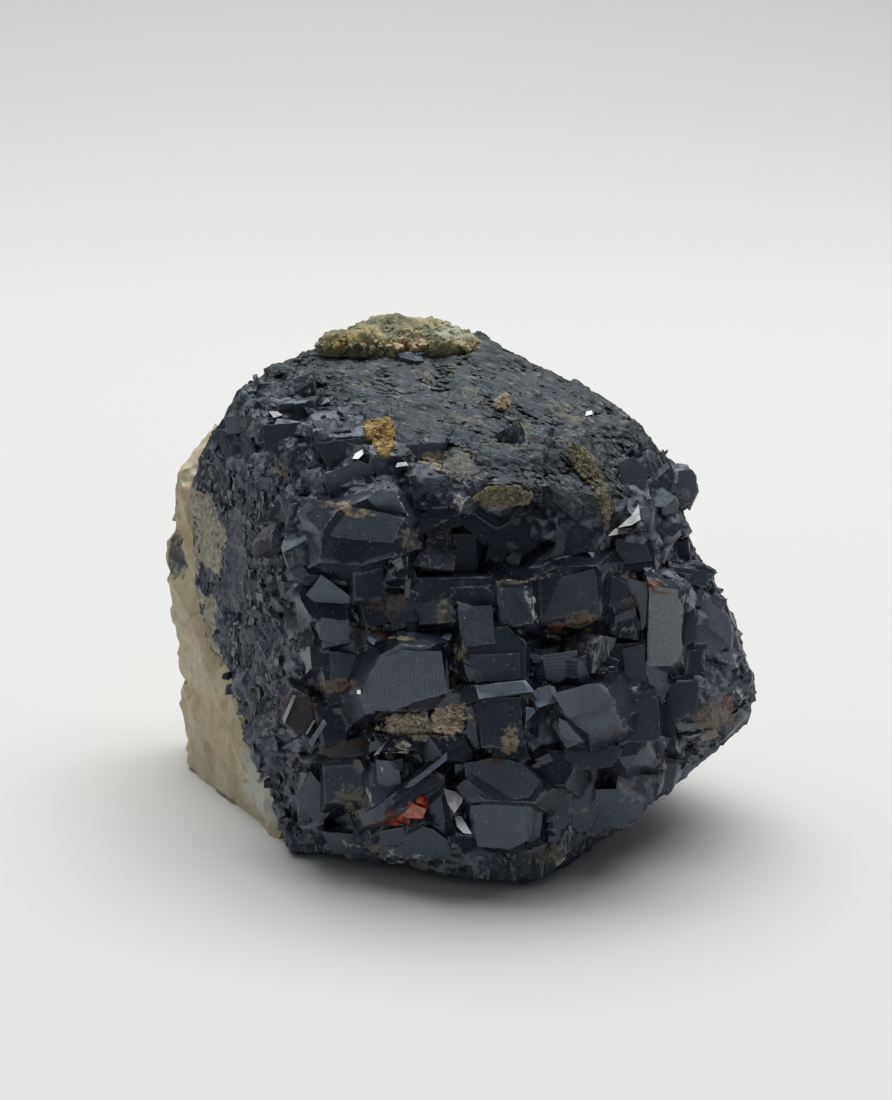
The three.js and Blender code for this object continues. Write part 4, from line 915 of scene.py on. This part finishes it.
dice = np.random.default_rng(SEED + 5)
fronts = faces_as_seen("crystal_faces", CRYSTAL_FACES, 0.3 * MM, 3 * MM, dice)
refine(fronts)
spots, normals = spots_and_normals(fronts)
ridge = ridge_marks(fronts)
keep_values(fronts, "ridge", ridge)
keep_values(fronts, "striae", striae_at(spots, normals))
keep_colours(fronts, "stain", stains_at(spots, normals, STAINS))
chips = np.clip(wobble(spots, 1.1 * MM, 4) + 0.1, 0, 1) * ridge * CHIP_DEPTH
move_along(fronts, normals, wobble(spots, 4 * MM, 7) * 0.06 * MM - chips)
bpy.ops.object.shade_smooth_by_angle(angle=SMOOTH_BELOW)
fronts.data.materials.append(garnet_look)
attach(fronts, "root")

# Bright faces: a few small crystal faces that catch the light, some of them white as mirrors. They are fronts of
# garnet crystals too, all turned the same way, up toward the light, and their colour is a painted highlight, near
# white on the flashes, over their real reflection.
FLASH, SHEEN = 0.9, 0.42
BRIGHT_FACES = [
    (FLASH, [(0.9, -26), (1.7, -26.2), (2.8, -28.1), (1.9, -28), (1.2, -27.3)]),
    (SHEEN, [(-0.3, -23.1), (0.9, -23.5), (2, -23.6), (1.7, -24.7), (0.9, -25.9), (0.2, -24.8)]),
    (SHEEN, [(18.7, 5.2), (20.2, 5.5), (21.2, 6.1), (21, 7.8), (20.2, 6.5)]),
    (SHEEN, [(17.6, 4.3), (19.6, 4.6), (20.3, 5.2), (18.4, 5.1)]),
    (FLASH, [(-10.2, 12.75), (-9.6, 12.7), (-8.6, 13.6), (-8.9, 13.9), (-9.9, 13.3)]),
    (SHEEN, [(-18.2, 16.55), (-17, 16.5), (-17.1, 16.95), (-18, 17)]),
    (SHEEN, [(-19.3, 17.9), (-18.8, 17.2), (-17.8, 17.5), (-18.4, 17.9)]),
    (SHEEN, [(-5.5, 11.8), (-4.1, 12), (-4.3, 12.4), (-5.3, 12.3)]),
    (FLASH, [(15.2, 17.4), (16, 17.6), (15.9, 18), (15.3, 17.9)]),
    (FLASH, [(-9.7, -12.9), (-9.3, -12.9), (-9.3, -12.4), (-9.7, -12.5)]),
    (0.22, [(-17.8, -15.6), (-17.6, -16.1), (-16.4, -13.3), (-16.2, -12.2), (-16.6, -12.7)]),
    (0.2, [(-15.3, -17.2), (-15.1, -17.3), (-14.2, -15.8), (-14.4, -15.7)]),
    (SHEEN, [(-7.9, -19.6), (-7.3, -19.4), (-6.3, -17.9), (-6.9, -18.3)]),
]
FLASH_NORMAL = np.array([0.03, -0.46, 0.887])
PAINTED_FLASH_WHITE, VEIL = (0.96, 0.98, 1), (0.07, 0.075, 0.085)
bright = faces_as_seen("bright_faces", BRIGHT_FACES, 1.2 * MM, 2.2 * MM, dice, FLASH_NORMAL)
painted_highlight_look, shader, place = new_look("garnet_painted_highlight")
# The base colour is a painted highlight: near white on the flashes, paler grey on the sheens, under a faint grey
# veil.
painted_flash = ramp(value_of("tint"), 1, 2)
veil = times(ramp(add_noise(place, 0.7 * MM), 0.42, 0.6, 0, 0.6), ramp(painted_flash, FLASH, SHEEN))
connect(mix(veil, scaled(PAINTED_FLASH_WHITE, painted_flash), VEIL), shader.inputs["Base Color"])
shader.inputs["Roughness"].default_value = 0.3
bright.data.materials.append(painted_highlight_look)
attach(bright, "root")

# Earth fillings: crumbs of tan, khaki and golden dirt in hollows of the slab and its brow, and tan grains that
# fill the two pockets to the brim. They are cemented in place.
LEFT_POCKET = [(-6.4, -15.5), (-5.2, -15.1), (-2.6, -15.3), (-1.6, -15.6), (-1.7, -16.8), (-3, -17.5),
               (-5.2, -17.3), (-6.3, -16.8)]
RIGHT_POCKET = [(-1.4, -15.4), (-0.6, -14.3), (0.8, -13.7), (1.9, -13.9), (2.2, -15), (1.7, -16.6), (0.3, -17.2),
                (-1.2, -16.9)]

# Colour, how many places are tried, size in mm and outline.
CRUMB_ROWS = [(GOLD, 440, 0.3, GOLD_SPOT), (KHAKI, 520, 0.25, BROW_LENS), (KHAKI, 840, 0.25, BROW_STREAK),
              (TAN, 140, 0.2, SLAB_SPOT)]
POCKET_ROWS = [(BEIGE, 840, 0.28, LEFT_POCKET), (BEIGE, 840, 0.28, RIGHT_POCKET)]
earth_look, shader, place = new_look("earth")
shade = ramp(add_noise(place, 0.4 * MM, 3, 17), 0.3, 0.7, 0.7, 1.25)
earth_colour = add_node("Attribute", attribute_name="stain").outputs["Color"]
connect(scaled(earth_colour, shade), shader.inputs["Base Color"])
shader.inputs["Roughness"].default_value = 0.85
dice = np.random.default_rng(SEED + 4)
for name, slot, rows, in_pocket in (("earth_crumbs", "crust", CRUMB_ROWS, False),
                                    ("pocket_grains", "tan_grains", POCKET_ROWS, True)):
    crumb_spots, sizes, colours = [], [], []
    for colour, tries, size, outline in rows:
        low, high = np.min(outline, axis=0), np.max(outline, axis=0)
        brim = meet(*np.mean(outline, axis=0)) + TOWARD * 0.5 * MM
        for _ in range(tries):
            across, up = low + dice.random(2) * (high - low)
            if not inside(outline, np.array([across]), np.array([up]))[0]:
                continue
            sunk = dice.uniform(0, 0.5) * MM
            crumb_spots.append(on_plane(across, up, brim, TOWARD) - TOWARD * sunk if in_pocket
                               else meet(across, up) + TOWARD * 0.9 * MM)
            sizes.append(size)
            colours.append([*(np.array(colour) * dice.uniform(0.6, 1.5)), 1])
    sizes = np.array(sizes) * dice.uniform(0.5, 1.1, len(sizes)) * MM
    group, counts = joined_blocks(name, crumb_spots, [TOWARD] * len(sizes), sizes, [1, 1, 0.8], sizes * 0.35,
                                  TO_RIGHT, 0.8, dice)
    keep_colours(group, "stain", np.repeat(np.array(colours), counts, axis=0))
    group.data.materials.append(earth_look)
    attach(group, "root")

# Quartz matrix: massive cream quartz behind the garnet and along its left edge, broken and uneven.
# It is stained peach in places, whiter at its foot, and holds a few dark grains of garnet.
PEACH, CHALK, DARK = (0.56, 0.43, 0.31), (0.66, 0.65, 0.58), (0.09, 0.1, 0.11)
QUARTZ_STAINS = [
    (DARK, -29.6, 2.3, 0.9, 2.1, 0), (DARK, -20, -22, 0.5, 0.8, 0), (DARK, -26.6, 6.6, 0.4, 0.5, 0),
    (DARK, -25.6, 2.7, 0.35, 0.5, 0), (DARK, -25, -8, 0.6, 0.9, 0), (PEACH, -27.2, -6.2, 1.2, 1.3, 0),
    (PEACH, -28, 9, 0.9, 1, 0), (CHALK, -19.2, -22.6, 2.4, 4.4, 24),
]
CREAM_QUARTZ, DEEP_CREAM, QUARTZ_SPECK = (0.6, 0.53, 0.36), (0.5, 0.43, 0.27), (0.27, 0.23, 0.16)
IRON_STAIN, WHITER, SEAM_BROWN = (0.5, 0.35, 0.18), (0.62, 0.6, 0.53), (0.3, 0.21, 0.12)
MOST_IN, MOST_OUT = -1.6 * MM, 0.75 * MM


def with_stains(colour, speck):
    """The colour with the piece's listed stains over it, whose borders the specks make ragged."""
    stain = add_node("Attribute", attribute_name="stain")
    shown = ramp(plus(stain.outputs["Alpha"], ramp(speck, 0.3, 0.7, -0.4, 0.4)), 0.4, 0.9)
    return mix(shown, colour, stain.outputs["Color"])


quartz = piece_from("quartz_matrix", "quartz_matrix_piece")
refine(quartz, 0.6 * MM)
spots, normals = spots_and_normals(quartz)
keep_colours(quartz, "stain", stains_at(spots, normals, QUARTZ_STAINS))
lumps = (wobble(spots, 4.5 * MM, 11) * 0.5 + wobble(spots, 1.7 * MM, 12) * 0.26
         + wobble(spots, 0.8 * MM, 13) * 0.13) * MM
lumps += breaks(spots, 7 * MM, 0.08 * MM, 0.07, 14) + breaks(spots, 1.8 * MM, 0.03 * MM, 0.07, 15)
broken_back = breaks(spots, 5 * MM, 0.3 * MM, 0.12, 16) + breaks(spots, 2.4 * MM, 0.08 * MM, 0.12, 17)
lumps += ~in_view(spots, normals) * broken_back
lumps = np.where(spots[:, 2] < 0.5 * MM, 0, np.clip(lumps, MOST_IN, MOST_OUT))
move_along(quartz, normals, lumps)
bpy.ops.object.shade_smooth_by_angle(angle=math.radians(34))
quartz_look, shader, place = new_look("quartz")
speck = add_noise(place, 0.7 * MM, 3, 6)
iron = add_noise(place, 9 * MM, 5, 18)
colour = mix(ramp(add_noise(place, 4.5 * MM, 4, 5), 0.35, 0.7), CREAM_QUARTZ, DEEP_CREAM)
colour = mix(ramp(speck, 0.62, 0.75), colour, QUARTZ_SPECK)
colour = mix(ramp(iron, 0.54, 0.66, 0, 0.7), colour, IRON_STAIN)
colour = mix(ramp(iron, 0.44, 0.34, 0, 0.6), colour, WHITER)
colour = mix(times(thin_lines(add_noise(place, 6 * MM, 4, 19), 0.006), 0.18), colour, SEAM_BROWN)
connect(with_stains(colour, speck), shader.inputs["Base Color"])
connect(bumped(speck, 0.7, 0.15 * MM), shader.inputs["Normal"])
shader.inputs["Roughness"].default_value = 0.5
shader.inputs["IOR"].default_value = 1.54
quartz.data.materials.append(quartz_look)
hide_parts("quartz_matrix")
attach(quartz, "root")

# Weathered crust: a rind of olive and tan grains, cemented on the crest where the quartz meets the garnet.
# Its front edge is tucked down and back into the slab.
CRUST_STAINS = [((0.58, 0.44, 0.28), -4, 25.2, 1.4, 0.9, 0), ((0.12, 0.13, 0.09), -9.5, 24.6, 1.6, 0.5, 10),
                ((0.4, 0.31, 0.14), -11.5, 25.6, 1.6, 0.7, 0), ((0.42, 0.43, 0.33), 0.8, 26.6, 2, 0.7, 0)]
OLIVE_TAN, OLIVE = (0.47, 0.4, 0.23), (0.2, 0.205, 0.125)
PALE_GRAIN, HOLLOW_SHADE = (0.52, 0.46, 0.32), (0.09, 0.09, 0.06)
TUCKED_BELOW, TUCK_DEPTH, TUCK_WAY = 25.9, 1.5 * MM, [0, 0.55, -0.84]
crust = piece_from("weathered_crust", "weathered_crust_piece")
refine(crust, 0.45 * MM, 0.8 * MM)
spots, normals = spots_and_normals(crust)
lumps = breaks(spots, 1.1 * MM, 0.12 * MM, 0.25, 21) + wobble(spots, 2.4 * MM, 22) * 0.5 * MM
move_along(crust, normals, lumps)
keep_colours(crust, "stain", stains_at(spots, normals, CRUST_STAINS))
tucked = np.clip(TUCKED_BELOW - as_seen(spots)[1], 0, 1) * in_view(spots, normals)
move_along(crust, np.tile(TUCK_WAY, (len(spots), 1)), tucked * TUCK_DEPTH)
bpy.ops.object.shade_smooth_by_angle(angle=math.radians(40))
crust_look, shader, place = new_look("weathered_crust")
speck = add_noise(place, 0.5 * MM, 3, 9)
colour = mix(ramp(add_noise(place, 2.2 * MM, 4, 8), 0.4, 0.6), OLIVE_TAN, OLIVE)
colour = with_stains(mix(ramp(speck, 0.55, 0.7), colour, PALE_GRAIN), speck)
# The low spots of the bump are darkened with painted shade.
connect(mix(ramp(speck, 0.4, 0.28), colour, HOLLOW_SHADE), shader.inputs["Base Color"])
connect(bumped(speck, 1, 0.25 * MM), shader.inputs["Normal"])
shader.inputs["Roughness"].default_value = 0.85
crust.data.materials.append(crust_look)
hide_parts("weathered_crust")
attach(crust, "root")

# Crust grains: loose-looking grains of the same rind, tan and olive like it. They are cemented over it and along
# the seam where it meets the slab.
CRUST_SEAM = [(-14.4, 25.9), (-12, 25.1), (-9, 24), (-5, 23.9), (-2.6, 24.6), (-1, 25), (2.6, 25.2), (3.4, 25.8),
              (2.6, 26.2), (-5, 26.4), (-13.6, 26.3)]
ON_CRUST, ON_SEAM = 1500, 900
dice = np.random.default_rng(SEED + 6)
spots, normals = scatter_spots("weathered_crust", ON_CRUST, dice)
spots, normals = settled(spots, normals, 1.2 * MM)
low, high = np.min(CRUST_SEAM, axis=0), np.max(CRUST_SEAM, axis=0)
seam = low + dice.random((ON_SEAM, 2)) * (high - low)
seam = [meet(*place) for place in seam[inside(CRUST_SEAM, seam[:, 0], seam[:, 1])]]
seam = np.array([spot for spot in seam if spot is not None]) + TOWARD * 0.25 * MM
spots = np.concatenate([spots, seam])
normals = np.concatenate([normals, np.tile([0, -0.4, 0.917], (len(seam), 1))])
sizes = (0.18 + 0.32 * dice.random(len(spots)) ** 2) * MM
heights = 0.12 * MM * dice.uniform(-1, 1.6, len(spots))
grains, counts = joined_blocks("crust_grains", spots, normals, sizes, [1, 1, 0.8], heights, UPRIGHT, 0.5, dice)
keep_colours(grains, "stain", np.repeat(stains_at(spots, normals, CRUST_STAINS), counts, axis=0))
grains.data.materials.append(crust_look)
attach(grains, "root")

# Tan grains: two pockets between the crystals, each filled with coarse tan grains set in brown.
# They are cemented to each other and to the garnet around them.
BROWN_BED, TAN_GRAIN, GREY_PATCH = (0.1, 0.07, 0.045), (0.4, 0.32, 0.22), (0.17, 0.16, 0.14)
tan_look, shader, place = new_look("tan_grains")
speck = add_noise(place, 0.5 * MM, 3, 12)
colour = mix(ramp(speck, 0.4, 0.62), BROWN_BED, TAN_GRAIN)
colour = mix(ramp(add_noise(place, 1.1 * MM, 2, 13), 0.52, 0.66), colour, GREY_PATCH)
connect(colour, shader.inputs["Base Color"])
connect(bumped(speck, 1, 0.2 * MM), shader.inputs["Normal"])
shader.inputs["Roughness"].default_value = 0.8
for side in ("left", "right"):
    tan = piece_from("tan_grains_" + side, "tan_grains_" + side + "_piece")
    refine(tan, 0.3 * MM, 0.5 * MM)
    spots, normals = spots_and_normals(tan)
    move_along(tan, normals, (wobble(spots, 0.8 * MM, 31) * 0.3 - 0.1) * MM)
    bpy.ops.object.shade_smooth_by_angle(angle=math.radians(40))
    tan.data.materials.append(tan_look)
    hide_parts("tan_grains_" + side)
    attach(tan, "root")

low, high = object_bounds()
sizes = {"cad": [list(cad_low), list(cad_high)], "visual": [list(low), list(high)]}
